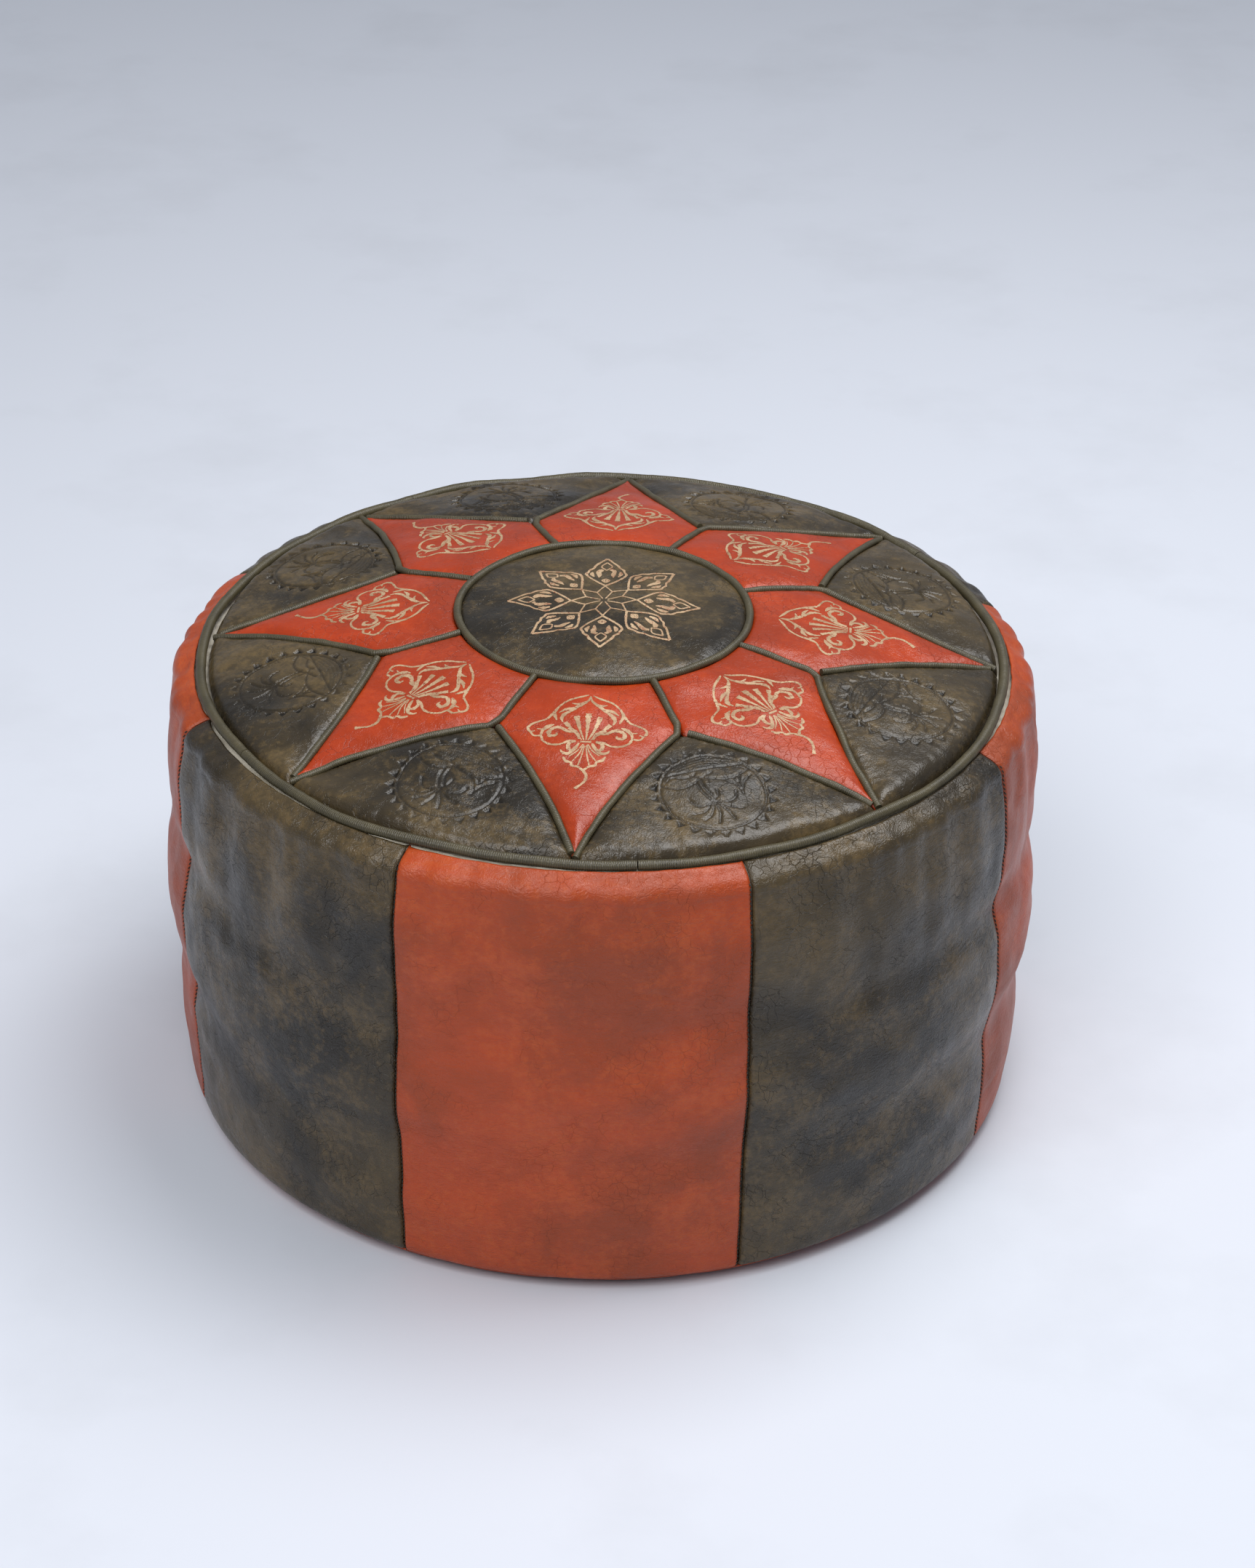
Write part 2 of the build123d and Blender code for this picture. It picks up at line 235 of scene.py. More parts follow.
def crown_height(points, press=0.0):
    """Height of the stuffed crown's leather over plan points: dome, puffed panels, seams and folds."""
    sizes = bpy.context.scene.pouf_sizes
    folded, radius = fold(points)
    seam, along = distance_to_line(folded, HALF_SEAM)
    disc = np.abs(radius - DISC_R)
    rim = np.clip(PANEL_EDGE_R - radius, 0, None)
    seam = np.where(radius < DISC_R, 1.0, seam)
    nearest = np.minimum(seam, disc)
    height = dome_height(radius)
    height += sizes.puff * (1 - np.exp(-np.minimum(nearest, rim) / (13 * MM)))
    # a roll of wadding inside the rim, then the seams' grooves and the rim's turned edge
    height += 1.6 * MM * hump(rim - 15 * MM, 12 * MM) * (1 - hump(seam, 14 * MM))
    height -= 2.7 * MM * hump(nearest, 1.7 * MM) + 0.8 * MM * hump(nearest, 5 * MM)
    height += 1.5 * MM * hump(rim - 7 * MM, 6 * MM)
    height -= 4.6 * MM * hump(rim, 2.8 * MM)
    # uneven wadding away from the seams, and puckers along them
    calm = 1 - hump(np.minimum(nearest, rim), 5 * MM)
    height += calm * 0.8 * MM * waves(points, 70 * MM, 11)
    height += calm * 0.28 * MM * waves(points, 22 * MM, 12)
    pucker = np.sin(along / (5.5 * MM) * 2 * math.pi + 3 * waves(points, 30 * MM, 13))
    height += 0.16 * MM * pucker * np.exp(-seam / (6 * MM)) * (seam < 0.5)
    rim_pucker = waves(np.stack([np.arctan2(points[:, 0], -points[:, 1]) * RIM_R], 1), 12 * MM, 14)
    height += 0.35 * MM * rim_pucker * np.exp(-rim / (9 * MM))
    return height - press


# ---- mesh making ----
def mesh_object(name, vertices, faces, material, smooth_faces=True):
    """A mesh from an array of vertices and a list of face arrays, each of triangles or of quads."""
    mesh = bpy.data.meshes.new(name)
    mesh.vertices.add(len(vertices))
    mesh.vertices.foreach_set("co", np.asarray(vertices, np.float32).ravel())
    loops = np.concatenate([f.ravel() for f in faces]).astype(np.int32)
    sizes = np.concatenate([np.full(len(f), f.shape[1]) for f in faces]).astype(np.int32)
    starts = np.concatenate([[0], np.cumsum(sizes)[:-1]]).astype(np.int32)
    mesh.loops.add(len(loops))
    mesh.loops.foreach_set("vertex_index", loops)
    mesh.polygons.add(len(sizes))
    mesh.polygons.foreach_set("loop_start", starts)
    mesh.polygons.foreach_set("use_smooth", np.full(len(sizes), smooth_faces))
    mesh.update(calc_edges=True)
    mesh.validate()
    mesh.materials.append(material)
    return link(name, mesh)


def vertex_normals(vertices, faces):
    a, b, c, d = (vertices[faces[:, i]] for i in (0, 1, 2, -1))
    cross = np.cross(c - a, d - b) if faces.shape[1] == 4 else np.cross(b - a, c - a)
    normals = np.zeros_like(vertices)
    for i in range(faces.shape[1]):
        np.add.at(normals, faces[:, i], cross)
    return unit(normals, 1e-12)


def leather_piece(name, outer, faces, material, thickness=LEATHER, press=None):
    """A closed piece of leather: the outer face, an inner face under it, and the cut edge."""
    count = len(outer)
    inner = outer - vertex_normals(outer, faces) * thickness
    pairs = np.concatenate([np.stack([faces[:, i], faces[:, (i + 1) % faces.shape[1]]], 1)
                            for i in range(faces.shape[1])])
    codes = pairs[:, 0].astype(np.int64) * count + pairs[:, 1]
    back = pairs[:, 1].astype(np.int64) * count + pairs[:, 0]
    rim = pairs[~np.isin(codes, back)]
    edge = np.stack([rim[:, 1], rim[:, 0], rim[:, 0] + count, rim[:, 1] + count], 1)
    made = mesh_object(name, np.vstack([outer, inner]), [faces, faces[:, ::-1] + count, edge], material)
    if press is not None:
        attribute = made.data.attributes.new("press", "FLOAT", "POINT")
        attribute.data.foreach_set("value", np.concatenate([press, press]).astype(np.float32))
    return made


def link(name, mesh):
    made = bpy.data.objects.new(name, mesh)
    bpy.context.scene.collection.objects.link(made)
    return made


def face_outwards(mesh, join=0.0):
    """Turns every face of closed shells outwards, and first joins vertices nearer than join."""
    bm = bmesh.new()
    bm.from_mesh(mesh)
    if join:
        bmesh.ops.remove_doubles(bm, verts=bm.verts, dist=join)
    bmesh.ops.recalc_face_normals(bm, faces=bm.faces)
    bm.to_mesh(mesh)
    bm.free()


def grid_quads(rows, columns, wrapped):
    """Faces of a grid of vertices, row by row, whose last column may join its first."""
    index = np.arange(rows * columns).reshape(rows, columns)
    right = np.roll(index, -1, 1)
    if not wrapped:
        index, right = index[:, :-1], right[:, :-1]
    return np.stack([index[:-1], index[1:], right[1:], right[:-1]], -1).reshape(-1, 4)


def inward_normals(outline):
    """Normals of a closed anticlockwise plan outline, towards its inside."""
    tangent = np.roll(outline, -1, 0) - np.roll(outline, 1, 0)
    return unit(np.stack([-tangent[:, 1], tangent[:, 0]], 1))


def filled_outline(outline, spacing, rings=(0.5, 1.1, 1.9, 2.9)):
    """Triangles inside a closed plan outline: close rings near its edge, and a hexagonal net inside."""
    low, high = outline.min(0), outline.max(0)
    rows = int((high[1] - low[1]) / (spacing * 0.866)) + 2
    columns = int((high[0] - low[0]) / spacing) + 2
    x, y = np.meshgrid(np.arange(columns) * spacing, np.arange(rows) * spacing * 0.866)
    x = x + (np.arange(rows) % 2)[:, None] * spacing / 2
    net = np.stack([x.ravel(), y.ravel()], 1) + low
    closed = np.vstack([outline, outline[:1]])
    edge, _ = distance_to_line(net, closed)
    net = net[edge > rings[-1] * MM + spacing * 0.6]
    normal = inward_normals(outline)
    loose = [net]
    for ring in rings:
        points = (outline + normal * ring * MM)[::1 if ring < 1.5 else 2]
        edge, _ = distance_to_line(points, closed)
        loose.append(points[edge > ring * MM * 0.96])
    points = np.vstack([outline] + loose)
    n = len(outline)
    coords = [Vector(p) for p in points / MM]
    edges = [(i, (i + 1) % n) for i in range(n)]
    made = delaunay_2d_cdt(coords, edges, [list(range(n))], 1, 1e-5)
    plan = np.array([tuple(v) for v in made[0]]) * MM
    faces = np.array([f for f in made[2] if len(f) == 3])
    a, b, c = (plan[faces[:, i]] for i in range(3))
    area = (b[:, 0] - a[:, 0]) * (c[:, 1] - a[:, 1]) - (b[:, 1] - a[:, 1]) * (c[:, 0] - a[:, 0])
    faces[area < 0] = faces[area < 0][:, ::-1]
    used, faces = np.unique(faces[np.abs(area) > 1e-12], return_inverse=True)
    return plan[used], faces.reshape(-1, 3)


def inset(outline, amount):
    """A closed outline moved inwards along its own normals."""
    moved = outline + inward_normals(outline) * amount
    edge, _ = distance_to_line(moved, np.vstack([outline, outline[:1]]))
    return moved[edge > amount * 0.98]


def without_repeats(outline):
    gap = np.linalg.norm(outline - np.roll(outline, 1, 0), axis=1)
    return outline[gap > 0.05 * MM]


# ---- leather and other finishes ----
class Finish:
    """A material in the making. Its textures lie in the object's own coordinates, sized in millimetres."""

    def __init__(self, name):
        self.material = bpy.data.materials.new(name)
        self.material.use_nodes = True
        self.material.node_tree.nodes.clear()
        self.place = self.node("TexCoord").outputs["Object"]

    def node(self, kind, sockets=None, **settings):
        return add_node(self.material.node_tree, "ShaderNode" + kind, sockets, **settings)

    def noise(self, size_mm, detail, roughness=0.5, distortion=0.0, at=None, output="Fac"):
        return self.node("TexNoise", {
            "Vector": at or self.place, "Scale": per_metre(size_mm), "Detail": detail, "Roughness": roughness,
            "Distortion": distortion}).outputs[output]

    def cells(self, size_mm, feature, at):
        return self.node("TexVoronoi", {"Vector": at, "Scale": per_metre(size_mm)},
                         feature=feature).outputs["Distance"]

    def wobbled(self, size_mm):
        """Places moved about by noise of this size, so that cells laid there have crooked edges."""
        bent = self.noise(size_mm, 3.0, output="Color")
        shift = self.node("VectorMath", {0: bent, 1: (0.5, 0.5, 0.5)}, operation="SUBTRACT")
        scaled = self.node("VectorMath", {0: shift.outputs[0], "Scale": size_mm * MM}, operation="SCALE")
        return self.node("VectorMath", {0: self.place, 1: scaled.outputs[0]}).outputs[0]

    def attribute(self, name):
        return self.node("Attribute", attribute_name=name).outputs["Fac"]

    def calc(self, operation, first, second=0.0):
        return add_sum(self.material.node_tree, operation, first, second)

    def ramp(self, value, low=0.0, high=1.0, first=0.0, last=1.0):
        return self.node("MapRange", {
            "Value": value, "From Min": low, "From Max": high, "To Min": first, "To Max": last}).outputs[0]

    def blend(self, share, first, second):
        """A share of the second colour over the first, which is a hex colour or a blend made before."""
        first = linear(first) if isinstance(first, str) else first
        return self.node("Mix", {"Factor": share, 6: first, 7: linear(second)}, data_type="RGBA").outputs[2]

    def close(self, colour, roughness, height=None, bump=0.0, depth_mm=0.0, more=None):
        sockets = {"Base Color": colour, "Roughness": roughness, **(more or {})}
        if height:
            relief = self.node("Bump", {"Height": height, "Strength": bump, "Distance": depth_mm * MM})
            sockets["Normal"] = relief.outputs[0]
        surface = self.node("BsdfPrincipled", sockets)
        self.node("OutputMaterial", {"Surface": surface.outputs[0]})
        return self.material


def leather(name, base, shade, light, crack_and_press_shade, roughness, crackle=0.5, bump=0.6, folding=1.0,
            worn_share=0.45):
    """Vegetable-tanned goat skin, dyed by hand and glazed: uneven dye in soft patches, a pebbled
    grain under a satin glaze, and hair-fine cracks where the glaze has flexed."""
    f = Finish(name)
    patches = f.noise(55, 5.0, 0.62, 0.4)
    worn = f.noise(38, 2.0, 0.5, 1.2)
    crooked = f.wobbled(9)
    deep = f.ramp(f.calc("ADD", f.noise(150, 2.0), patches), 0.86, 1.2)
    tint = f.blend(deep, base, shade)
    pale = f.ramp(f.calc("SUBTRACT", f.noise(5, 4.0, 0.7), patches), -0.02, 0.24, 0.0, worn_share)
    tint = f.blend(pale, tint, light)
    lines = f.ramp(f.cells(7, "DISTANCE_TO_EDGE", crooked), 0.0, 0.035, 1.0, 0.0)
    cracks = f.calc("MULTIPLY", f.calc("MULTIPLY", lines, f.ramp(worn, 0.46, 0.62)), crackle)
    tint = f.blend(cracks, tint, crack_and_press_shade)
    # painted shade: the pressed medallion lines are darkened towards the crack colour
    tint = f.blend(f.calc("MULTIPLY", f.attribute("press"), 0.85), tint, crack_and_press_shade)
    gloss = f.ramp(worn, 0.3, 0.7, roughness - 0.06, roughness + 0.1)
    flat = f.node("Mapping", {"Vector": crooked, "Scale": (1, 1, folding)}).outputs[0]
    folds = f.noise(3.2 * folding**0.5, 4.0, 0.6, at=flat)
    grain = f.calc("MULTIPLY", f.cells(0.9, "SMOOTH_F1", crooked), 0.35)
    height = f.calc("SUBTRACT", f.calc("ADD", folds, grain), f.calc("MULTIPLY", cracks, 1.2))
    return f.close(tint, gloss, height, bump, 0.6, {"IOR": 1.5, "Specular IOR Level": 0.42})


def ribbed_leather(name, base, shade, light):
    """Folded strips of thin skin pulled over a cord: the grain stretches into fine ribs across them."""
    f = Finish(name)
    jitter = f.noise(2.2, 2.0)
    turns = f.calc("MULTIPLY", f.attribute("along"), 2 * math.pi * per_metre(1.3))
    rib = f.calc("SINE", f.calc("ADD", turns, f.calc("MULTIPLY", jitter, 9.0)))
    tint = f.blend(f.ramp(f.noise(16, 4.0), 0.35, 0.7), base, shade)
    # painted highlight: each rib's crest is lighter in colour
    tint = f.blend(f.ramp(rib, 0.2, 1.0, 0.0, 0.35), tint, light)
    return f.close(tint, 0.42, f.calc("ADD", rib, jitter), 0.35, 0.25, {"IOR": 1.5})


def gold_leaf(name, leaf, dull, ground):
    """Imitation gold leaf stamped into the skin with a hot brass die: matt, thin and rubbed through."""
    f = Finish(name)
    rubbing = f.noise(1.6, 5.0, 0.75)
    bare = f.ramp(rubbing, 0.54, 0.62)
    tint = f.blend(f.ramp(f.noise(9, 2.0), 0.35, 0.7), leaf, dull)
    tint = f.blend(bare, tint, ground)
    return f.close(tint, 0.55, rubbing, 0.3, 0.15, {"Metallic": f.ramp(bare, first=0.2, last=0.0)})


def cloth(name, base, shade, thread_mm, fuzz=0.3):
    """Spun cotton, woven or loose: matt, with the light and dark of separate threads."""
    f = Finish(name)
    weave = f.node("TexWave", {
        "Vector": f.place, "Scale": per_metre(thread_mm) / math.pi, "Distortion": 1.5, "Detail": 2.0},
        bands_direction="DIAGONAL").outputs["Fac"]
    tint = f.blend(f.calc("MULTIPLY", weave, f.noise(12, 4.0)), base, shade)
    return f.close(tint, 0.9, weave, 0.5, 0.2, {"Sheen Weight": fuzz})


def cast_brass(name, base, tarnish):
    """Die-cast brass, tumbled and left to tarnish: brown in uneven patches."""
    f = Finish(name)
    stain = f.noise(4, 5.0)
    tint = f.blend(f.ramp(stain, 0.4, 0.7), base, tarnish)
    return f.close(tint, f.ramp(stain, first=0.22, last=0.55), stain, 0.2, 0.1, {"Metallic": 1.0})


def studio_floor(name, base, scuff):
    """A painted studio floor: matt off-white paint with faint scuffs."""
    f = Finish(name)
    scuffs = f.ramp(f.noise(240, 6.0, 0.6), 0.5, 0.75, 0.0, 0.35)
    return f.close(f.blend(scuffs, base, scuff), 0.75)


# each finish: its maker, its colours (hex, or the name of a colour in the panel) and its other values
FINISHES = {
    # a leather's last colour darkens its glaze cracks and, as painted shade, its pressed medallion lines
    "orange_glazed_goat": (leather, ("orange", "orange_deep", "#B8481A", "#6E1E08"),
                           {"roughness": 0.31, "worn_share": 0.3}),
    "orange_wall_goat": (leather, ("orange_wall", "orange_wall_deep", "#B95A24", "#7A2C10"),
                         {"roughness": 0.4, "crackle": 0.25, "bump": 1.0, "folding": 4.0, "worn_share": 0.3}),
    "olive_glazed_goat": (leather, ("olive", "olive_deep", "#6E5A38", "#17130D"), {"roughness": 0.27}),
    "olive_wall_goat": (leather, ("olive", "olive_deep", "#6A5636", "#17130D"),
                        {"roughness": 0.29, "bump": 1.0, "folding": 4.0}),
    "olive_piping_goat": (ribbed_leather, ("piping", "#332E20", "#6E6546"), {}),
    "gold_leaf": (gold_leaf, ("gold", "#98795A", "#7C3A22"), {}),
    "cotton_wadding": (cloth, ("#D8D0BE", "#A79D88"), {"thread_mm": 6.0}),
    "waxed_thread": (cloth, ("#33291E", "#15100B"), {"thread_mm": 0.5, "fuzz": 0.0}),
    "woven_zip_tape": (cloth, ("#5A2A1C", "#35170E"), {"thread_mm": 0.7}),
    "tarnished_brass": (cast_brass, ("#C9A45C", "#7A5B2C"), {}),
    "painted_floor": (studio_floor, ("#CED2DB", "#B9BCC3"), {}),
}


def finish_of(kind):
    """The material of this kind, made once from the colours in the panel."""
    maker, colours, values = FINISHES[kind]
    dyes = bpy.context.scene.pouf_dyes
    return bpy.data.materials.get(kind) or maker(
        kind, *[c if c.startswith("#") else getattr(dyes, c) for c in colours], **values)


# ---- the wall's stuffed shape ----
def arc_through(points, count):
    """Points along the arc through three places, given as radius and height in millimetres."""
    (ax, ay), (bx, by), (cx, cy) = points
    d = 2 * (ax * (by - cy) + bx * (cy - ay) + cx * (ay - by))
    ux = ((ax**2 + ay**2) * (by - cy) + (bx**2 + by**2) * (cy - ay) + (cx**2 + cy**2) * (ay - by)) / d
    uy = ((ax**2 + ay**2) * (cx - bx) + (bx**2 + by**2) * (ax - cx) + (cx**2 + cy**2) * (bx - ax)) / d
    radius = math.hypot(ax - ux, ay - uy)
    start, middle, end = (math.atan2(y - uy, x - ux) for x, y in points)
    sweep = (end - start + math.pi) % (2 * math.pi) - math.pi
    angle = start + sweep * np.linspace(0, 1, count)
    return np.stack([ux + radius * np.cos(angle), uy + radius * np.sin(angle)], 1)


def wall_profile():
    """The wall's section, radius and height in metres, and how far down it each point is."""
    parts = [arc_through(SHOULDER, 24), arc_through(WALL, 60)[1:], arc_through(FOOT, 12)[1:]]
    line = np.vstack(parts) * MM
    down = np.concatenate([[0], np.cumsum(np.linalg.norm(np.diff(line, axis=0), axis=1))])
    return line, down


PROFILE, PROFILE_DOWN = wall_profile()
WALL_LENGTH = PROFILE_DOWN[-1]
COLUMNS, ROWS = 192, 42
_kept = {}


def profile_at(down):
    return np.stack([np.interp(down, PROFILE_DOWN, PROFILE[:, i]) for i in (0, 1)], -1)


def settle_wall():
    """Cloth simulation of the stuffed wall. The skin is cut a little longer than its frame, is held
    at the rim, the hem and, less firmly, at its seams, and the stuffing's pressure folds it.
    Gives each grid point's move outwards and upwards."""
    if "wall" in _kept:
        return _kept["wall"]
    sizes = bpy.context.scene.pouf_sizes
    azimuth = np.arange(COLUMNS) * 2 * math.pi / COLUMNS
    down = np.linspace(0, WALL_LENGTH, ROWS)
    section = profile_at(down)
    a, d = np.meshgrid(azimuth, down)
    start_noise = waves(np.stack([np.sin(a) * 0.27, np.cos(a) * 0.27, d], -1), 60 * MM, 21)
    plain, height = (np.repeat(section[:, i][:, None], COLUMNS, 1) for i in (0, 1))
    radius = plain + 1.2 * MM * start_noise * np.sin(math.pi * d / WALL_LENGTH)
    start = space_point(radius, a, height)
    cover = mesh_object("settling_wall", start.reshape(-1, 3), [grid_quads(ROWS, COLUMNS, True)],
                        finish_of("orange_wall_goat"))
    group = cover.vertex_groups.new(name="sewn")
    per_panel = COLUMNS // POINTS
    numbers = np.arange(ROWS * COLUMNS).reshape(ROWS, COLUMNS)
    group.add(numbers[:, per_panel // 2::per_panel].ravel().tolist(), 0.35, "REPLACE")
    group.add(numbers[[0, -1]].ravel().tolist(), 1.0, "REPLACE")
    settled = start
    settle = cover.modifiers.new("settle", "CLOTH")
    for name, value in {
            "quality": 6, "mass": 0.5, "tension_stiffness": 60, "compression_stiffness": 60,
            "shear_stiffness": 25, "bending_stiffness": sizes.stiffness, "tension_damping": 20,
            "compression_damping": 20, "shear_damping": 20, "vertex_group_mass": "sewn",
            "pin_stiffness": 1.0, "use_pressure": True, "uniform_pressure_force": sizes.pressure,
            "shrink_min": -sizes.spare, "shrink_max": -sizes.spare}.items():
        setattr(settle.settings, name, value)
    settle.settings.effector_weights.gravity = 0.6
    settle.collision_settings.use_collision = False
    settle.point_cache.frame_start, settle.point_cache.frame_end = 1, 60
    for number in range(1, sizes.settle_frames + 1):
        bpy.context.scene.frame_set(number)
    shape = cover.evaluated_get(bpy.context.evaluated_depsgraph_get()).to_mesh()
    settled = np.zeros(len(shape.vertices) * 3)
    shape.vertices.foreach_get("co", settled)
    settled = settled.reshape(ROWS, COLUMNS, 3)
    bpy.context.scene.frame_set(1)
    move = settled - space_point(plain, a, height)
    outwards = move[..., 0] * np.sin(a) - move[..., 1] * np.cos(a)
    # the firm stuffing holds the wall's overall shape, so most of each ring's mean move is dropped
    outwards = np.clip(0.5 * outwards - 0.4 * outwards.mean(1)[:, None], -5 * MM, 5 * MM)
    upwards = np.clip(0.5 * move[..., 2], -4 * MM, 4 * MM)
    bpy.data.objects.remove(cover)
    _kept["wall"] = (outwards, upwards)
    return _kept["wall"]


def spread(grid, rows, columns):
    """A grid's values at fractional rows and (wrapping) columns, by Catmull-Rom curves."""
    def weights(t):
        return [(-t**3 + 2 * t**2 - t) / 2, (3 * t**3 - 5 * t**2 + 2) / 2,
                (-3 * t**3 + 4 * t**2 + t) / 2, (t**3 - t**2) / 2]
    r0, c0 = np.floor(rows).astype(int), np.floor(columns).astype(int)
    total = np.zeros(rows.shape)
    for i, wr in zip(range(-1, 3), weights(rows - r0)):
        for j, wc in zip(range(-1, 3), weights(columns - c0)):
            total += wr * wc * grid[np.clip(r0 + i, 0, ROWS - 1), (c0 + j) % COLUMNS]
    return total


def wall_point(azimuth, down):
    """The stuffed wall's outer face, by azimuth and distance down from the rim."""
    outwards, upwards = settle_wall()
    rows = down / WALL_LENGTH * (ROWS - 1)
    columns = azimuth / (2 * math.pi) * COLUMNS
    section = profile_at(down)
    radius = section[..., 0] + spread(outwards, rows, columns)
    height = section[..., 1] + spread(upwards, rows, columns)
    seam = np.abs((azimuth % STEP) - STEP / 2) * WALL_MID_R
    place, flat = (space_point(WALL_MID_R, azimuth, down * stretch) for stretch in (1.0, 2.6))
    inside = np.sin(math.pi * np.clip(down / WALL_LENGTH, 0, 1)) ** 0.5
    # soft rings, long dents, a few broken folds and small lumps
    radius += sagging(azimuth, section[..., 1])
    radius += inside * 0.55 * MM * waves(flat, 70 * MM, 31)
    fold_line = waves(flat, 120 * MM, 32)
    radius -= inside * 0.9 * MM * hump(fold_line, 0.16) * smooth(waves(flat, 150 * MM, 40), 0.35, 1.1)
    radius += inside * 0.22 * MM * waves(place, 20 * MM, 33)
    radius += 0.22 * MM * waves(np.stack([azimuth * WALL_MID_R], -1), 22 * MM, 34) * np.exp(-down / (14 * MM))
    # the seams draw the wall in, most of all at the shoulder
    radius -= 2.3 * MM * hump(seam, 1.4 * MM) + 1.3 * MM * np.exp(-seam / (8 * MM)) * inside
    corner = np.exp(-seam / (11 * MM)) * np.exp(-down / (16 * MM))
    radius -= 3.0 * MM * corner
    height -= 2.0 * MM * corner
    return space_point(radius, azimuth, height)


def sagging(azimuth, height):
    """Where the stuffing has sunk into soft rings: how far the wall stands out, by azimuth and height."""
    ring = plan_point(WALL_MID_R, azimuth)
    low_crease = 97 * MM + 9 * MM * waves(ring, 420 * MM, 35) + 3 * MM * waves(ring, 90 * MM, 36)
    high_crease = 196 * MM + 7 * MM * waves(ring, 300 * MM, 37) + 2 * MM * waves(ring, 80 * MM, 38)
    low_share = 0.75 + 0.35 * waves(ring, 260 * MM, 39)
    from_back = np.abs(azimuth % (2 * math.pi) - math.pi)
    high_share = 0.15 + 0.85 * smooth(from_back, math.radians(165), math.radians(110))

    def ring_of(depth, middle, width):
        return depth * MM * hump(height - middle, width * MM)

    bulge = ring_of(3.4, low_crease + 52 * MM, 34) + ring_of(2.6, 250 * MM, 34)
    low = ring_of(-3.4, low_crease, 17) + ring_of(1.8, 50 * MM, 22) + ring_of(1.6, low_crease + 34 * MM, 18)
    return bulge + low_share * low + high_share * ring_of(-3.6, high_crease, 13)


# ---- curves and Geometry Nodes ----
def smooth_path(points, spacing):
    """A Catmull-Rom curve through the points, in even steps."""
    points = np.asarray(points, float)
    padded = np.vstack([2 * points[0] - points[1], points, 2 * points[-1] - points[-2]])
    t = np.linspace(0, 1, 12, endpoint=False)[:, None]
    pieces = []
    for p0, p1, p2, p3 in zip(padded[:-3], padded[1:-2], padded[2:-1], padded[3:]):
        pieces.append(0.5 * (2 * p1 + (p2 - p0) * t + (2 * p0 - 5 * p1 + 4 * p2 - p3) * t**2
                             + (3 * p1 - p0 - 3 * p2 + p3) * t**3))
    dense = np.vstack(pieces + [points[-1:]])
    length = np.concatenate([[0], np.cumsum(np.linalg.norm(np.diff(dense, axis=0), axis=1))])
    steps = np.linspace(0, length[-1], max(3, int(length[-1] / spacing) + 1))
    return np.stack([np.interp(steps, length, dense[:, i]) for i in range(dense.shape[1])], -1)


def group_tree(name, inputs):
    tree = bpy.data.node_groups.new(name, "GeometryNodeTree")
    tree.interface.new_socket("Geometry", in_out="INPUT", socket_type="NodeSocketGeometry")
    tree.interface.new_socket("Geometry", in_out="OUTPUT", socket_type="NodeSocketGeometry")
    for label, kind in inputs.items():
        tree.interface.new_socket(label, in_out="INPUT", socket_type="NodeSocket" + kind)
    return tree, add_node(tree, "NodeGroupInput").outputs


def add_geometry(tree, kind, sockets=None, **settings):
    """Adds a geometry node and gives its first output."""
    return add_node(tree, "GeometryNode" + kind, sockets, **settings).outputs[0]


def close_tree(tree, geometry, material):
    real = add_geometry(tree, "RealizeInstances", {"Geometry": geometry})
    done = add_geometry(tree, "SetMaterial", {"Geometry": real, "Material": material})
    add_node(tree, "NodeGroupOutput", {"Geometry": done})
    return tree


def piping_tree():
    """A welt along a path: an even tube with capped ends, whose skin swells and shrinks a little."""
    tree, given = group_tree("piping", {"Radius": "Float", "Step": "Float", "Swell": "Float",
                                        "Swell Size": "Float", "Material": "Material"})
    curve = add_geometry(tree, "MeshToCurve", {"Mesh": given["Geometry"]})
    even = add_geometry(tree, "ResampleCurve", {"Curve": curve, "Length": given["Step"]}, mode="LENGTH")
    along = add_node(tree, "GeometryNodeSplineParameter").outputs["Length"]
    marked = add_geometry(tree, "StoreNamedAttribute", {"Geometry": even, "Name": "along", "Value": along},
                          data_type="FLOAT", domain="POINT")
    ring = add_geometry(tree, "CurvePrimitiveCircle", {"Resolution": 14, "Radius": given["Radius"]})
    tube = add_geometry(tree, "CurveToMesh", {"Curve": marked, "Profile Curve": ring, "Fill Caps": True})
    lumps = add_node(tree, "ShaderNodeTexNoise", {"Scale": given["Swell Size"], "Detail": 2.0})
    swell = add_sum(tree, "MULTIPLY", add_sum(tree, "SUBTRACT", lumps.outputs["Fac"], 0.5), given["Swell"])
    normal = add_geometry(tree, "InputNormal")
    offset = add_node(tree, "ShaderNodeVectorMath", {0: normal, "Scale": swell}, operation="SCALE")
    swollen = add_geometry(tree, "SetPosition", {"Geometry": tube, "Offset": offset.outputs[0]})
    soft = add_geometry(tree, "SetShadeSmooth", {"Geometry": swollen})
    return close_tree(tree, soft, given["Material"])


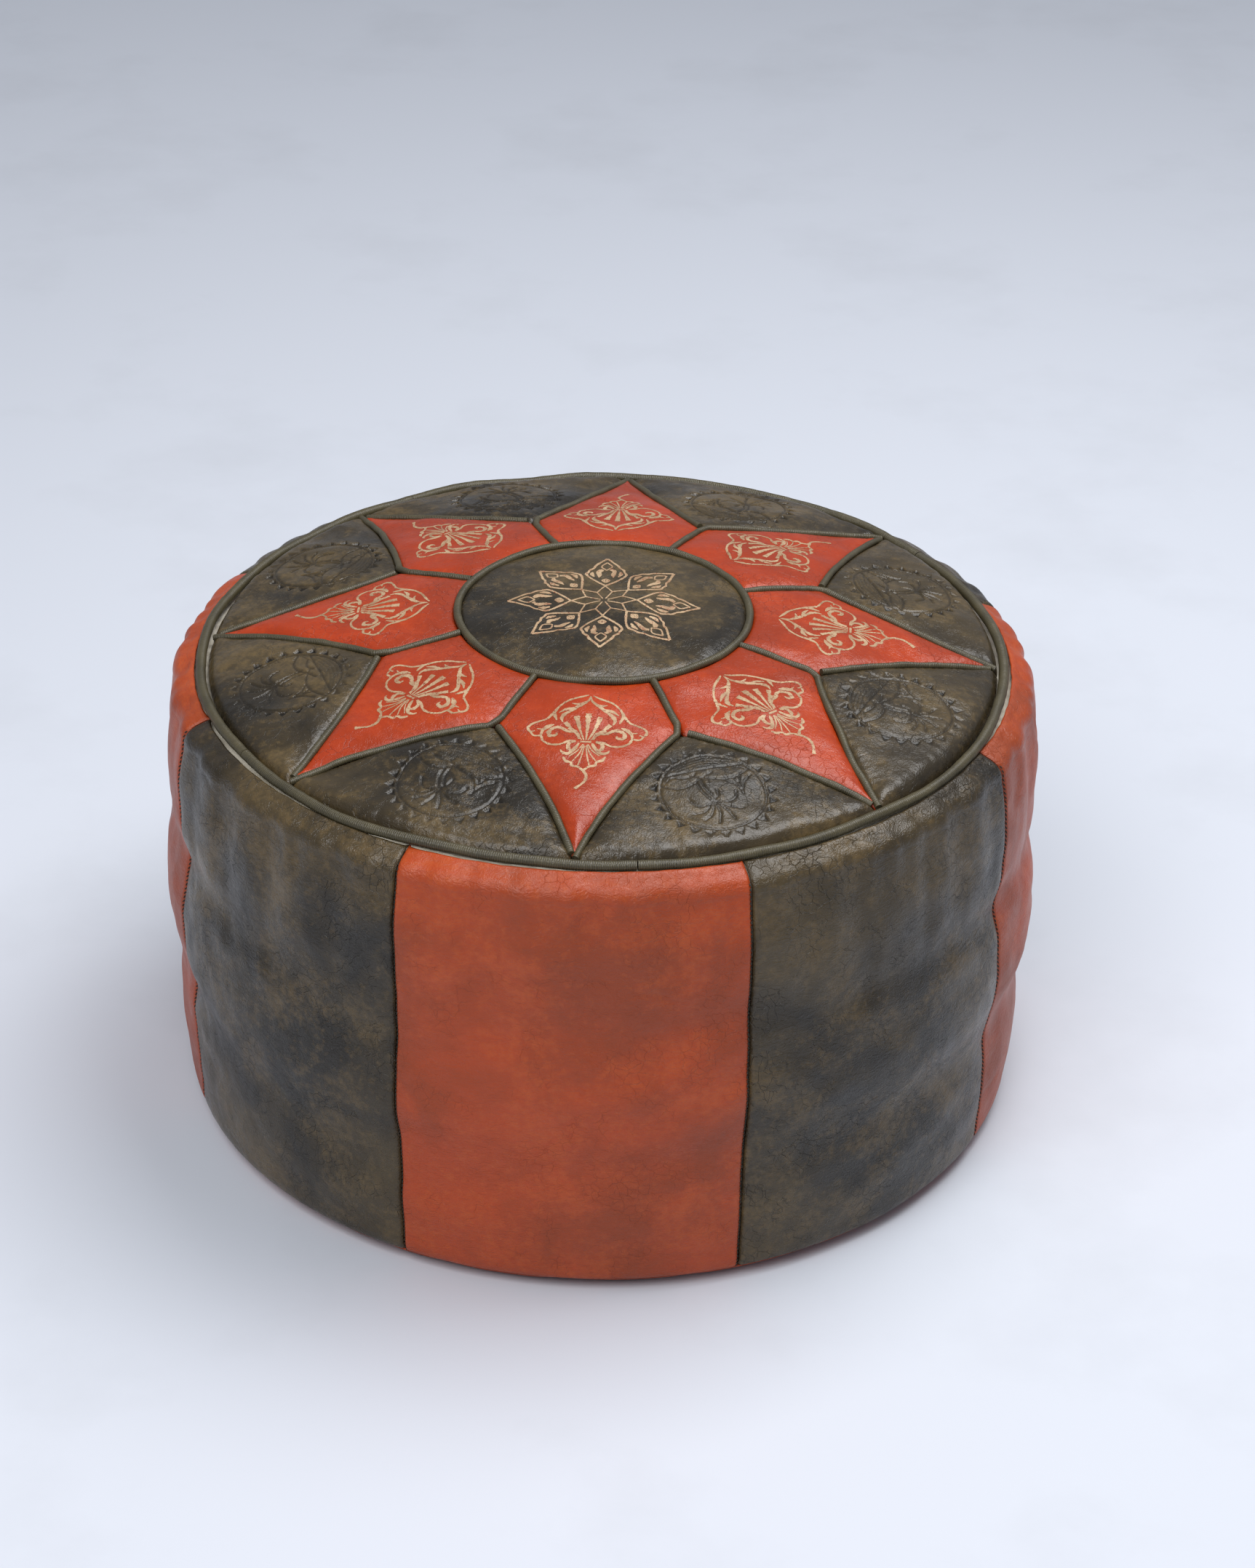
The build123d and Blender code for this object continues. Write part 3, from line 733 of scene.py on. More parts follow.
def stitch_tree():
    """A row of stitches along a path: short capsules, evenly spaced and slightly askew."""
    tree, given = group_tree("stitches", {"Pitch": "Float", "Length": "Float", "Thickness": "Float",
                                          "Slant": "Float", "Seed": "Int", "Material": "Material"})
    curve = add_geometry(tree, "MeshToCurve", {"Mesh": given["Geometry"]})
    points = add_node(tree, "GeometryNodeCurveToPoints", {"Curve": curve, "Length": given["Pitch"]},
                      mode="LENGTH").outputs
    ball = add_geometry(tree, "MeshUVSphere", {"Segments": 8, "Rings": 5, "Radius": 0.5})
    size = add_node(tree, "ShaderNodeCombineXYZ", {
        "X": given["Thickness"], "Y": given["Thickness"], "Z": given["Length"]})
    shaped = add_geometry(tree, "Transform", {"Geometry": ball, "Scale": size.outputs[0]})
    skew = add_node(tree, "FunctionNodeRandomValue", {"Min": -0.35, "Max": 0.35, "Seed": given["Seed"]},
                    data_type="FLOAT")
    angle = add_sum(tree, "ADD", given["Slant"], skew.outputs[1])
    turn = add_node(tree, "ShaderNodeCombineXYZ", {"X": angle})
    placed = add_geometry(tree, "InstanceOnPoints", {
        "Points": points["Points"], "Instance": shaped, "Rotation": points["Rotation"]})
    askew = add_geometry(tree, "RotateInstances", {
        "Instances": placed, "Rotation": turn.outputs[0], "Local Space": True})
    return close_tree(tree, askew, given["Material"])


def grown(name, path, kind, make_tree, values, closed=False):
    """Runs a node tree on a path of points and keeps the result as a plain mesh."""
    tree = bpy.data.node_groups.get(kind) or make_tree()
    mesh = bpy.data.meshes.new(name)
    count = len(path)
    edges = [(i, i + 1) for i in range(count - 1)] + ([(count - 1, 0)] if closed else [])
    mesh.from_pydata([tuple(p) for p in path], edges, [])
    source = link(name + "_path", mesh)
    modifier = source.modifiers.new("grow", "NODES")
    modifier.node_group = tree
    for item in tree.interface.items_tree:
        if item.item_type == "SOCKET" and item.in_out == "INPUT" and item.name in values:
            modifier[item.identifier] = values[item.name]
    graph = bpy.context.evaluated_depsgraph_get()
    graph.update()
    result = bpy.data.meshes.new_from_object(source.evaluated_get(graph), preserve_all_data_layers=True,
                                             depsgraph=graph)
    bpy.data.objects.remove(source)
    result.name = name
    face_outwards(result, join=1e-6)
    return link(name, result)


def settle_piece(piece, slot, *nodes):
    """Hands a finished piece to the frame: its body and the nodes it stands for; the slot it is given is not
    used.
    """
    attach(piece, BODY)
    if nodes:
        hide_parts(*nodes)
    return piece


# ---- pressed medallion ----
MEDALLION_R = 204 * MM       # its middle, from the middle of the crown
MEDALLION_RING = 31.5        # millimetres, as are the strokes below
TEETH, TOOTH_IN, TOOTH_OUT = 24, 33.2, 38.8
MEDALLION_STROKES = (
    # dunes
    ((-28, -12), (-20, -7), (-11, -7), (-3, -12), (4, -15)),
    ((-8, -14.5), (3, -9), (14, -8), (22, -11), (28, -15)),
    ((-20, -16), (-12, -13.5), (-6, -16)),
    # palm: two lines of trunk and eight fronds
    ((-8, -9), (-7.5, -1), (-4, 8)),
    ((-4.5, -10), (-4.5, -2), (-1, 7)),
    ((-3, 8), (-9, 11), (-14, 9), (-17, 3)),
    ((-3, 8.5), (-10, 15), (-17, 15)),
    ((-2.5, 9), (-7, 18), (-13, 22)),
    ((-2.5, 9.5), (-2, 18), (-5, 26)),
    ((-2, 9.5), (3, 18), (5, 25)),
    ((-2, 9), (6, 15), (13, 17)),
    ((-2, 8.5), (5, 10.5), (11, 8), (13, 3)),
    ((-2.5, 8), (1, 5), (2, 0)),
    # a tent with its pole and door
    ((8, -8), (14, -3), (17, 2.5), (20, -3), (26, -8.5)),
    ((17, 2.5), (17, 6)),
    ((15, -8), (17, -3), (19, -8)),
)


def medallion_press(points):
    """How deep the die pressed each plan point of the first rim panel, from 0 to 1."""
    local = turned(points, -STEP / 2) - plan_point(MEDALLION_R, 0.0)
    x, y = local[:, 0] / MM, -local[:, 1] / MM
    here = np.stack([x, y], 1)
    radius, angle = np.hypot(x, y), np.arctan2(y, x)
    press = 0.8 * hump(radius - MEDALLION_RING, 0.75)
    pitch = 2 * math.pi / TEETH
    off = np.abs((angle % pitch) - pitch / 2) * radius
    reach = (TOOTH_OUT - radius) / (TOOTH_OUT - TOOTH_IN)
    inside = np.minimum(reach * 3.7 - off, (radius - TOOTH_IN))
    worn = 0.75 + 0.35 * np.sin(angle * 2.3 + 1.0)
    press = np.maximum(press, smooth(inside, -0.35, 0.7) * worn * 1.15)
    near = radius < MEDALLION_RING
    for stroke in MEDALLION_STROKES:
        d, _ = distance_to_line(here[near], smooth_path(stroke, 1.0))
        press[near] = np.maximum(press[near], 0.8 * hump(d, 0.75))
    chord = -19.0
    for rib in range(5):
        level = chord - 2.4 * rib + 0.012 * x**2 * (rib > 0)
        press = np.maximum(press, (0.85 if rib == 0 else 0.4) * hump(y - level, 0.7) * near)
    return press


# ---- gold ornament: strokes as (x, y, width) in millimetres ----
def mirrored(strokes):
    return list(strokes) + [[(-x, y, w) for x, y, w in s] for s in strokes]


PALMETTE_NARROWING = 0.935


def palmette_strokes():
    """A palmette on its star point: x across, y out from the middle of the crown."""
    pairs = mirrored([
        # outer ogee, its leaf and its side lobe
        [(1.6, 110.6, 0.8), (6, 113.2, 1.8), (13.5, 117, 1.6), (19.5, 122.8, 1.5), (22.6, 128.5, 2.2),
         (26.5, 134.2, 1.6), (31, 136.2, 1.4), (36, 138.4, 1.6), (38.3, 141.6, 2.0), (36.6, 144.8, 1.4),
         (33.6, 144.4, 0.8)],
        [(36.6, 144.8, 1.2), (34, 148.8, 1.5), (29.4, 149.4, 1.7), (27.8, 153.6, 1.5), (23, 157.4, 1.6),
         (16.5, 158.4, 1.6), (11, 155.9, 1.9), (6.4, 155.4, 1.2)],
        [(22.6, 128.5, 2.4), (21.4, 132.6, 2.0), (20.2, 135.9, 0.7)],
        [(29.4, 149.4, 1.4), (28.6, 144.6, 2.4), (25.6, 141.4, 3.2), (21.6, 139.6, 0.8)],
        [(28.2, 143.6, 1.6), (32.4, 142.6, 0.6)],
        # serrated inner arch
        [(0.0, 111.5, 0.7), (1.2, 117, 1.5), (4.4, 120.6, 2.6), (7.6, 123.6, 2.6), (11, 126.6, 2.4),
         (14, 128.6, 1.4)],
        [(4.6, 121, 1.8), (8.6, 121.2, 1.6), (11.4, 120.4, 0.5)],
        [(9.6, 125.2, 2.0), (15, 126, 2.4), (19.4, 128.8, 0.6)],
        [(12.4, 128, 1.8), (15.6, 130.4, 2.8), (17.2, 134, 2.2), (16.2, 137.4, 0.6)],
        # inner scroll
        [(4.6, 153.4, 1.2), (5.6, 149, 2.6), (8.6, 145, 3.0), (12.2, 142.6, 1.8)],
        [(8.2, 146.6, 1.4), (12.6, 145.6, 2.6), (16.6, 142.6, 2.4), (20.6, 142.2, 2.6), (24.2, 145.2, 2.8),
         (23.6, 149.6, 2.6), (19.8, 149.6, 2.2), (19.2, 147.2, 0.8)],
        # foot scrolls
        [(6.4, 155.6, 1.4), (10.4, 157.6, 2.2), (10.8, 161.6, 2.6), (7.8, 164.4, 0.8)],
        [(4.2, 157.2, 1.2), (6.6, 162, 2.4), (10.6, 165.8, 2.4), (14.4, 164.8, 1.6), (15.6, 162.8, 0.8)],
        # fan under the bar and its scalloped edge
        [(1.6, 158.2, 0.8), (4.6, 163.6, 0.9), (9.6, 167.8, 0.7)],
        [(1.0, 158.6, 0.7), (3.2, 165.6, 0.9), (7.4, 171.6, 0.7)],
        [(0.5, 159.6, 0.7), (1.7, 167.6, 1.0), (3.6, 175, 0.8)],
        [(13.6, 168.2, 1.0), (11.6, 171.4, 2.2), (8.2, 172.6, 1.6), (7.4, 175.4, 2.0), (3.6, 176.2, 1.6),
         (0.2, 179.4, 2.0)],
        # feathers to the side
        [(1.4, 154.2, 0.8), (4.6, 143.6, 1.8), (7.8, 132, 3.6)],
        [(2.8, 154.2, 0.7), (8.2, 145.4, 1.5), (14.6, 137.4, 3.0)],
    ])
    strokes = pairs + [
        [(0, 154.2, 0.8), (0, 143.6, 2.0), (0, 129.6, 4.0)],
        [(-3.6, 155.8, 1.5), (3.6, 155.8, 1.5)],
        [(0, 179.4, 2.0), (2.4, 183.6, 1.8), (2.0, 188.6, 1.9), (-0.6, 192.8, 1.7), (-3.8, 196.4, 2.6)],
    ]
    return [[(x * PALMETTE_NARROWING, y, w * PALMETTE_NARROWING) for x, y, w in stroke] for stroke in strokes]


def petal_strokes():
    """One petal of the rosette with the share of the inner flower under it: y points outwards."""
    pairs = mirrored([
        [(0, 21, 1.4), (5.6, 26.4, 1.5), (10.6, 32, 1.5), (12.8, 36.6, 1.7), (11.4, 40.6, 1.4),
         (10.9, 43.2, 1.6), (8.2, 46.4, 1.4), (7.2, 49.6, 1.6), (3.8, 54.8, 1.5), (0, 60.6, 1.8)],
        [(2.6, 44.6, 2.4), (5.0, 41.6, 3.2), (4.4, 37, 2.8), (4.6, 32.8, 0.8)],
        [(8.8, 41, 0.8), (9.2, 37.4, 2.8), (7.8, 33.6, 1.0)],
        [(0, 43.6, 1.0), (3.4, 48.4, 1.1), (0, 54.4, 1.2)],
        [(0, 25.4, 0.9), (2.4, 28.2, 1.0), (0, 31, 0.9)],
        [(0.2, 26.6, 0.8), (1.0, 28.2, 1.3), (0.2, 29.8, 0.8)],
        [(0, 20.4, 1.2), (2.5, 16, 1.0), (4.78, 11.54, 1.2)],
    ])
    spoke = [(math.sin(STEP / 2) * r, math.cos(STEP / 2) * r, 0.9) for r in (2.4, 7.0, 12.5)]
    return pairs + [spoke]


def foil(name, strokes, turns, spacing, seed):
    """Stamped foil: thin closed ribbons, a hair above the leather, that follow its shape."""
    rng = np.random.default_rng(seed)
    vertices, quads, count = [], [], 0
    for turn in turns:
        for stroke in strokes:
            path = smooth_path(np.array(stroke), spacing)
            xy, width = path[:, :2], path[:, 2]
            tangent = np.gradient(xy, axis=0)
            normal = unit(np.stack([-tangent[:, 1], tangent[:, 0]], 1), 1e-9)
            ragged = width * (1 + 0.13 * rng.normal(size=len(width)))
            for side in (1, -1):
                rim = (xy + side * normal * ragged[:, None] / 2) * MM
                rim = turned(np.stack([rim[:, 0], -rim[:, 1]], 1), turn)
                level = crown_height(rim)
                vertices.append(np.column_stack([rim, level + FOIL_LIFT]))
                vertices.append(np.column_stack([rim, level - FOIL_SUNK]))
            n = len(xy)
            top_a, low_a, top_b, low_b = (count + i * n + np.arange(n) for i in range(4))
            for first, second in ((top_a, top_b), (low_a, top_a), (top_b, low_b), (low_b, low_a)):
                quads.append(np.stack([first[:-1], second[:-1], second[1:], first[1:]], 1))
            quads.append(np.array([[top_a[0], low_a[0], low_b[0], top_b[0]],
                                   [top_a[-1], top_b[-1], low_b[-1], low_a[-1]]]))
            count += 4 * n
    made = mesh_object(name, np.vstack(vertices), quads, finish_of("gold_leaf"), smooth_faces=False)
    face_outwards(made.data)
    return made


# ---- properties ----
class PoufDyes(bpy.types.PropertyGroup):
    """Colours of the leathers and the foil, as sRGB hex."""
    orange: StringProperty(name="Orange", description="Star points", default="#A23206")
    orange_deep: StringProperty(name="Deep orange", description="Where the dye is strongest", default="#8A2C08")
    orange_wall: StringProperty(name="Wall orange", description="Orange wall panels", default="#A43E14")
    orange_wall_deep: StringProperty(name="Deep wall orange", description="Handled and folded places",
                                     default="#8A3814")
    olive: StringProperty(name="Olive", description="Rim, disc and wall panels", default="#463A25")
    olive_deep: StringProperty(name="Deep olive", description="Where the dye is strongest", default="#211C14")
    piping: StringProperty(name="Piping", description="Welts on the crown", default="#463F2B")
    gold: StringProperty(name="Gold leaf", description="Stamped ornament", default="#BBA07E")


class PoufSizes(bpy.types.PropertyGroup):
    """Sizes of the stuffed leather."""
    puff: FloatProperty(name="Puff", description="Rise of a crown panel between its seams",
                        default=2.6 * MM, unit="LENGTH")
    stitch: FloatProperty(name="Stitch pitch", description="Distance between wall stitches",
                          default=3.0 * MM, unit="LENGTH")
    press: FloatProperty(name="Press depth", description="Depth of the pressed medallions",
                         default=1.3 * MM, unit="LENGTH")
    spare: FloatProperty(name="Spare leather", description="Share by which the wall is cut too long",
                         default=0.012)
    pressure: FloatProperty(name="Pressure", description="Stuffing pressure on the wall", default=14.0)
    stiffness: FloatProperty(name="Stiffness", description="Bending stiffness of the skin", default=6.0)
    settle_frames: IntProperty(name="Settling", description="Frames of cloth simulation", default=40)


class PoufStage(bpy.types.PropertyGroup):
    """Lamps and the white surroundings."""
    key: FloatProperty(name="Key light", description="Power of the overhead softbox, watts", default=46.0)
    fill: FloatProperty(name="Fill light", description="Power of the front softbox, watts", default=76.0)
    sky: FloatProperty(name="Ambient", description="Strength of the white surroundings", default=0.36)


# ---- operators ----
class POUF_OT_stage(bpy.types.Operator):
    """Pale floor, soft studio light and the camera"""
    bl_idname = "pouf.stage"
    bl_label = "Stage"

    def execute(self, context):
        scene = context.scene
        floor_half = 12.0
        corners = np.array([(x, y, 0) for x, y in ((-1, -1), (1, -1), (1, 1), (-1, 1))]) * floor_half
        floor = mesh_object("floor", corners, [np.array([[0, 1, 2, 3]])], finish_of("painted_floor"))
        world = bpy.data.worlds.new("studio")
        world.use_nodes = True
        background = world.node_tree.nodes["Background"]
        background.inputs["Color"].default_value = linear("#E6ECF7")
        background.inputs["Strength"].default_value = scene.pouf_stage.sky
        scene.world = world
        scene.view_settings.view_transform = "Standard"
        for name, place, size, power in (
                ("key_softbox", (0.7, 0.35, 2.3), 1.5, scene.pouf_stage.key),
                ("fill_softbox", (-0.8, -2.1, 2.9), 2.0, scene.pouf_stage.fill)):
            data = bpy.data.lights.new(name, "AREA")
            data.shape, data.size, data.energy = "SQUARE", size, power
            lamp = link(name, data)
            lamp.location = place
            aim = Vector((0, 0, CAMERA_TARGET_Z)) - Vector(place)
            lamp.rotation_euler = aim.to_track_quat("-Z", "Y").to_euler()
        self.add_camera(scene)
        return {"FINISHED"}

    def add_camera(self, scene):
        azimuth, elevation = math.radians(CAMERA_AZIMUTH), math.radians(CAMERA_ELEVATION)
        back = Vector((math.sin(azimuth) * math.cos(elevation), -math.cos(azimuth) * math.cos(elevation),
                       math.sin(elevation)))
        forward = -back
        right = forward.cross(Vector((0, 0, 1))).normalized()
        up = right.cross(forward)
        axes = [forward, right, up]
        for angle, i, j in ((CAMERA_PAN, 0, 1), (CAMERA_TILT, 0, 2), (CAMERA_ROLL, 1, 2)):
            c, s = math.cos(math.radians(angle)), math.sin(math.radians(angle))
            axes[i], axes[j] = axes[i] * c + axes[j] * s, axes[j] * c - axes[i] * s
        forward, right, up = axes
        data = bpy.data.cameras.new("camera")
        data.lens, data.sensor_width, data.sensor_fit = CAMERA_LENS, 36.0, "AUTO"
        data.clip_end = 100.0
        camera = link("camera", data)
        turn = Matrix((right, up, -forward)).transposed().to_4x4()
        place = Vector((0, 0, CAMERA_TARGET_Z)) + back * CAMERA_DISTANCE
        camera.matrix_world = Matrix.Translation(place) @ turn
        scene.camera = camera


class POUF_OT_wall(bpy.types.Operator):
    """Eight stuffed wall panels, orange and olive in turn"""
    bl_idname = "pouf.wall"
    bl_label = "Wall panels"

    def execute(self, context):
        close = np.array([0, 0.4, 0.9, 1.5, 2.3, 3.4, 4.8]) * MM
        half = STEP / 2 * WALL_MID_R - SEAM_ROOM
        middle = np.linspace(-half + 6.4 * MM, half - 6.4 * MM, 100)
        across = np.concatenate([-half + close, middle, (half - close)[::-1]]) / WALL_MID_R
        down = np.concatenate([np.arange(0, 24 * MM, 1.3 * MM), np.linspace(24 * MM, WALL_LENGTH, 150)])
        a, d = np.meshgrid(across, down)
        quads = grid_quads(*a.shape, False)
        for k in range(POINTS):
            kind, slot = (("orange_wall_goat", "orange_leather"), ("olive_wall_goat", "olive_leather"))[k % 2]
            outer = wall_point(a + k * STEP, d).reshape(-1, 3)
            panel = leather_piece(f"wall_leather_{k + 1}", outer, quads, finish_of(kind))
            settle_piece(panel, slot, f"side_panel_{k + 1}")
        return {"FINISHED"}


class POUF_OT_crown(bpy.types.Operator):
    """The crown's leather: centre disc, star points and rim panels with their pressed medallions"""
    bl_idname = "pouf.crown"
    bl_label = "Crown"

    def execute(self, context):
        coarse = 1
        disc = arc_points(DISC_R - SEAM_ROOM, 0, 2 * math.pi)[:-1]
        self.piece("disc_leather", filled_outline(disc, 1.6 * MM * coarse), 0, "olive_glazed_goat",
                   "olive_leather", "centre_disc")
        edge_t = np.linspace(0, 1, 106)
        foot_left, foot_right, valley_left, valley_right = (
            plan_point(r, side * STEP / 2) for r in (DISC_R, VALLEY_R) for side in (-1, 1))
        star = np.vstack([
            arc_points(DISC_R, STEP / 2, -STEP / 2)[:-1], line_points(foot_left, valley_left)[:-1],
            star_edge(-1, edge_t)[:-1], star_edge(1, edge_t[::-1])[:-1],
            line_points(valley_right, foot_right)[:-1]])
        star = filled_outline(inset(without_repeats(star), SEAM_ROOM), 1.6 * MM * coarse)
        # a rim panel stops short of the rim piping
        rim = np.vstack([star_edge(1, edge_t)[:-1], arc_points(TIP_R, 0.0, STEP)[:-1],
                         turned(star_edge(-1, edge_t), STEP)[::-1][:-1]])
        rim = filled_outline(inset(without_repeats(rim), SEAM_ROOM), 0.95 * MM * coarse)
        for k in range(POINTS):
            self.piece(f"star_leather_{k + 1}", star, k * STEP, "orange_glazed_goat", "orange_leather",
                       f"star_point_{k + 1}")
            self.piece(f"rim_leather_{k + 1}", rim, k * STEP, "olive_glazed_goat", "olive_leather",
                       f"rim_panel_{k + 1}", medallion_press(rim[0]))
        return {"FINISHED"}

    def piece(self, name, net, turn, kind, slot, node, press=None):
        plan, faces = net
        plan = turned(plan, turn)
        depth = 0.0 if press is None else press * bpy.context.scene.pouf_sizes.press
        outer = np.column_stack([plan, crown_height(plan, depth)])
        made = leather_piece(name, outer, faces, finish_of(kind), press=press)
        settle_piece(made, slot, node)


class POUF_OT_piping(bpy.types.Operator):
    """Welts round the disc, the star points and the rim"""
    bl_idname = "pouf.piping"
    bl_label = "Piping"

    def execute(self, context):
        for k in range(POINTS):
            for name, plan, nodes in self.star_paths(k):
                self.welt(name, self.on_crown(plan, -0.3 * MM, 41 + k), STAR_PIPE_R * 0.9, nodes)
        ring = arc_points(DISC_R, 0, 2 * math.pi, 2 * MM)[:-1]
        self.welt("disc_piping", self.on_crown(ring, 0.3 * MM, 60), DISC_PIPE_R * 0.85,
                  ["centre_welt", "centre_welt_cord"], closed=True)
        self.rim()
        return {"FINISHED"}

    def star_paths(self, k):
        t = np.linspace(0, 0.985, 60)
        foot, valley = (plan_point(r, STEP / 2) for r in (DISC_R + DISC_PIPE_R * 0.8, VALLEY_R))
        spoke = line_points(foot, valley, 3 * MM)
        long_line = np.vstack([spoke[:-2], star_edge(1, t)[2:]])
        short_line = star_edge(-1, np.linspace(0.03, 0.955, 56))
        cords = ["star_welt_cords"] if k == 0 else []
        return ((f"star_piping_long_{k + 1}", turned(smooth_path(long_line, 2 * MM), k * STEP),
                 [f"star_welt_long_{k + 1}"] + cords),
                (f"star_piping_short_{k + 1}", turned(short_line, k * STEP), [f"star_welt_short_{k + 1}"]))

    def on_crown(self, plan, lift, seed):
        path = np.column_stack([plan, dome_height(np.linalg.norm(plan, axis=1)) + lift])
        path[:, :2] += 0.35 * MM * np.stack([waves(path, 45 * MM, seed), waves(path, 45 * MM, seed + 100)], 1)
        path[:, 2] += 0.3 * MM * waves(path, 30 * MM, seed + 200)
        return path

    def rim(self):
        joints = [math.radians(j) for j in RIM_PIPE_JOINTS]
        for k, start in enumerate(joints):
            end = joints[(k + 1) % len(joints)]
            end += 2 * math.pi if end <= start else 0
            gap = 0.25 * MM / RIM_R
            azimuth = np.linspace(start + gap, end - gap, int((end - start) * RIM_R / (2 * MM)))
            ring = plan_point(RIM_R, azimuth)
            radius = RIM_R + 0.9 * MM * waves(ring, 90 * MM, 71)
            path = space_point(radius, azimuth, RIM_Z + 0.6 * MM + 0.9 * MM * waves(ring, 110 * MM, 72))
            cords = ["rim_welt_cord"] if k == 0 else []
            self.welt(f"rim_piping_{k + 1}", path, RIM_PIPE_R * 0.88, [f"rim_welt_{k + 1}"] + cords)

    def welt(self, name, path, radius, nodes, closed=False):
        made = grown(name, path, "piping", piping_tree, {
            "Radius": radius, "Step": 1.6 * MM, "Swell": 0.9 * MM, "Swell Size": per_metre(11),
            "Material": finish_of("olive_piping_goat")}, closed)
        settle_piece(made, "piping_leather", *nodes)


class POUF_OT_gilding(bpy.types.Operator):
    """Gold rosette on the disc and a palmette on each star point"""
    bl_idname = "pouf.gilding"
    bl_label = "Gold ornament"

    def execute(self, context):
        turns = [k * STEP + math.radians(1.5) for k in range(POINTS)]
        rosette = foil("rosette_foil", petal_strokes(), turns, 0.9, 81)
        settle_piece(rosette, "gold_leaf")
        for k in range(POINTS):
            palmette = foil(f"palmette_foil_{k + 1}", palmette_strokes(), [k * STEP], 0.9, 90 + k)
            settle_piece(palmette, "gold_leaf")
        return {"FINISHED"}


class POUF_OT_stitches(bpy.types.Operator):
    """Thread in the wall seams"""
    bl_idname = "pouf.stitches"
    bl_label = "Stitches"

    def execute(self, context):
        down = np.arange(16 * MM, WALL_LENGTH - 4 * MM, 1.5 * MM)
        for k in range(POINTS):
            beside = (-1 if k % 2 == 0 else 1) * STITCH_ASIDE      # the thread shows on the orange side
            azimuth = np.full(len(down), (k + 0.5) * STEP + beside / WALL_MID_R)
            path = wall_point(azimuth, down)
            path += unit(path * np.array([1, 1, 0])) * STITCH_PROUD
            row = grown(f"seam_stitches_{k + 1}", path, "stitches", stitch_tree, {
                "Pitch": context.scene.pouf_sizes.stitch, "Length": STITCH_LENGTH, "Thickness": STITCH_THICKNESS,
                "Slant": 0.5, "Seed": k, "Material": finish_of("waxed_thread")})
            settle_piece(row, "seam_thread", *(["side_seam_threads"] if k == 0 else []))
        return {"FINISHED"}


class POUF_OT_base(bpy.types.Operator):
    """Two base panels either side of the zip"""
    bl_idname = "pouf.base"
    bl_label = "Base"

    def execute(self, context):
        edge_r = HEM_R - 0.3 * MM
        half_slot, slot_end, spacing = CHANNEL_TOP_HALF, CHANNEL_HALF_LENGTH, 2.5 * MM
        y0 = 0.4 * MM                # half the gap between the two panels
        x0, lean = math.sqrt(edge_r**2 - y0**2), math.asin(y0 / edge_r)
        arc = arc_points(edge_r, math.pi / 2 + lean, 1.5 * math.pi - lean, spacing)
        corners = np.array([(-x0, y0), (-slot_end, y0), (-slot_end, half_slot), (slot_end, half_slot),
                            (slot_end, y0), (x0, y0)])
        lines = [line_points(a, b, spacing)[:-1] for a, b in zip(corners[:-1], corners[1:])]
        outline = without_repeats(np.vstack([arc[:-1]] + lines))
        plan, faces = filled_outline(outline, 3.4 * MM, rings=(1.0, 2.4))
        for name, turn in (("back", 0.0), ("front", math.pi)):
            here = turned(plan, turn)
            outer = np.column_stack([here, self.height(here)])
            panel = leather_piece(f"base_leather_{name}", outer, faces[:, ::-1], finish_of("orange_wall_goat"))
            settle_piece(panel, "orange_leather", f"bottom_panel_{name}")
        return {"FINISHED"}

    def height(self, plan):
        """The base's underside: flat on the floor, turned up at the hem and hollow over the zip."""
        radius = np.linalg.norm(plan, axis=1)
        slope = CHANNEL_FOOT_HALF - CHANNEL_TOP_HALF
        side = (CHANNEL_FOOT_HALF - np.abs(plan[:, 1])) / slope
        end = (CHANNEL_HALF_LENGTH + slope - np.abs(plan[:, 0])) / slope
        hollow = CHANNEL_DEPTH * np.clip(np.minimum(side, end), 0, 1)
        turn_up = 7.6 * MM * np.clip((radius - BASE_FLAT_R) / (HEM_R - BASE_FLAT_R), 0, 1) ** 1.8
        ripple = 0.5 * MM * np.clip(waves(plan, 45 * MM, 95), 0, None) * smooth(radius, 60 * MM, 240 * MM)
        pull = 0.35 * MM * (1 + np.sin(plan[:, 0] / (9 * MM) * 2 * math.pi)) * np.exp(
            -np.clip(np.abs(plan[:, 1]) - CHANNEL_TOP_HALF, 0, None) / (8 * MM))
        return hollow + turn_up + ripple + pull * 0.3


class POUF_OT_stuffing(bpy.types.Operator):
    """The wadding inside"""
    bl_idname = "pouf.stuffing"
    bl_label = "Stuffing"

    def execute(self, context):
        columns, foot_z = 160, 16 * MM
        azimuth = np.arange(columns) * 2 * math.pi / columns
        side = wall_point(*np.meshgrid(azimuth, np.linspace(13 * MM, WALL_LENGTH - 12 * MM, 40)))
        side[..., :2] *= 1 - WADDING_INSET / WALL_MID_R
        top_r, foot_r = np.linspace(10, 240, 16) * MM, np.array([235, 190, 140, 90, 45, 15]) * MM
        top, foot = (space_point(r[:, None], azimuth, np.repeat(z[:, None], columns, 1))
                     for r, z in ((top_r, dome_height(top_r) - WADDING_INSET), (foot_r, np.full(6, foot_z))))
        points = np.vstack([top, side, foot])
        rings = len(points)
        points = np.vstack([points.reshape(-1, 3), [(0, 0, CROWN_Z - WADDING_INSET), (0, 0, foot_z)]])
        last, first = rings * columns, np.arange(columns)
        after, low = np.roll(first, -1), (rings - 1) * columns
        fans = [np.stack([first, after, np.full(columns, last)], 1),
                np.stack([low + after, low + first, np.full(columns, last + 1)], 1)]
        wadding = mesh_object("wadding", points, [grid_quads(rings, columns, True)] + fans,
                              finish_of("cotton_wadding"))
        settle_piece(wadding, "wadding", "stuffing")
        return {"FINISHED"}


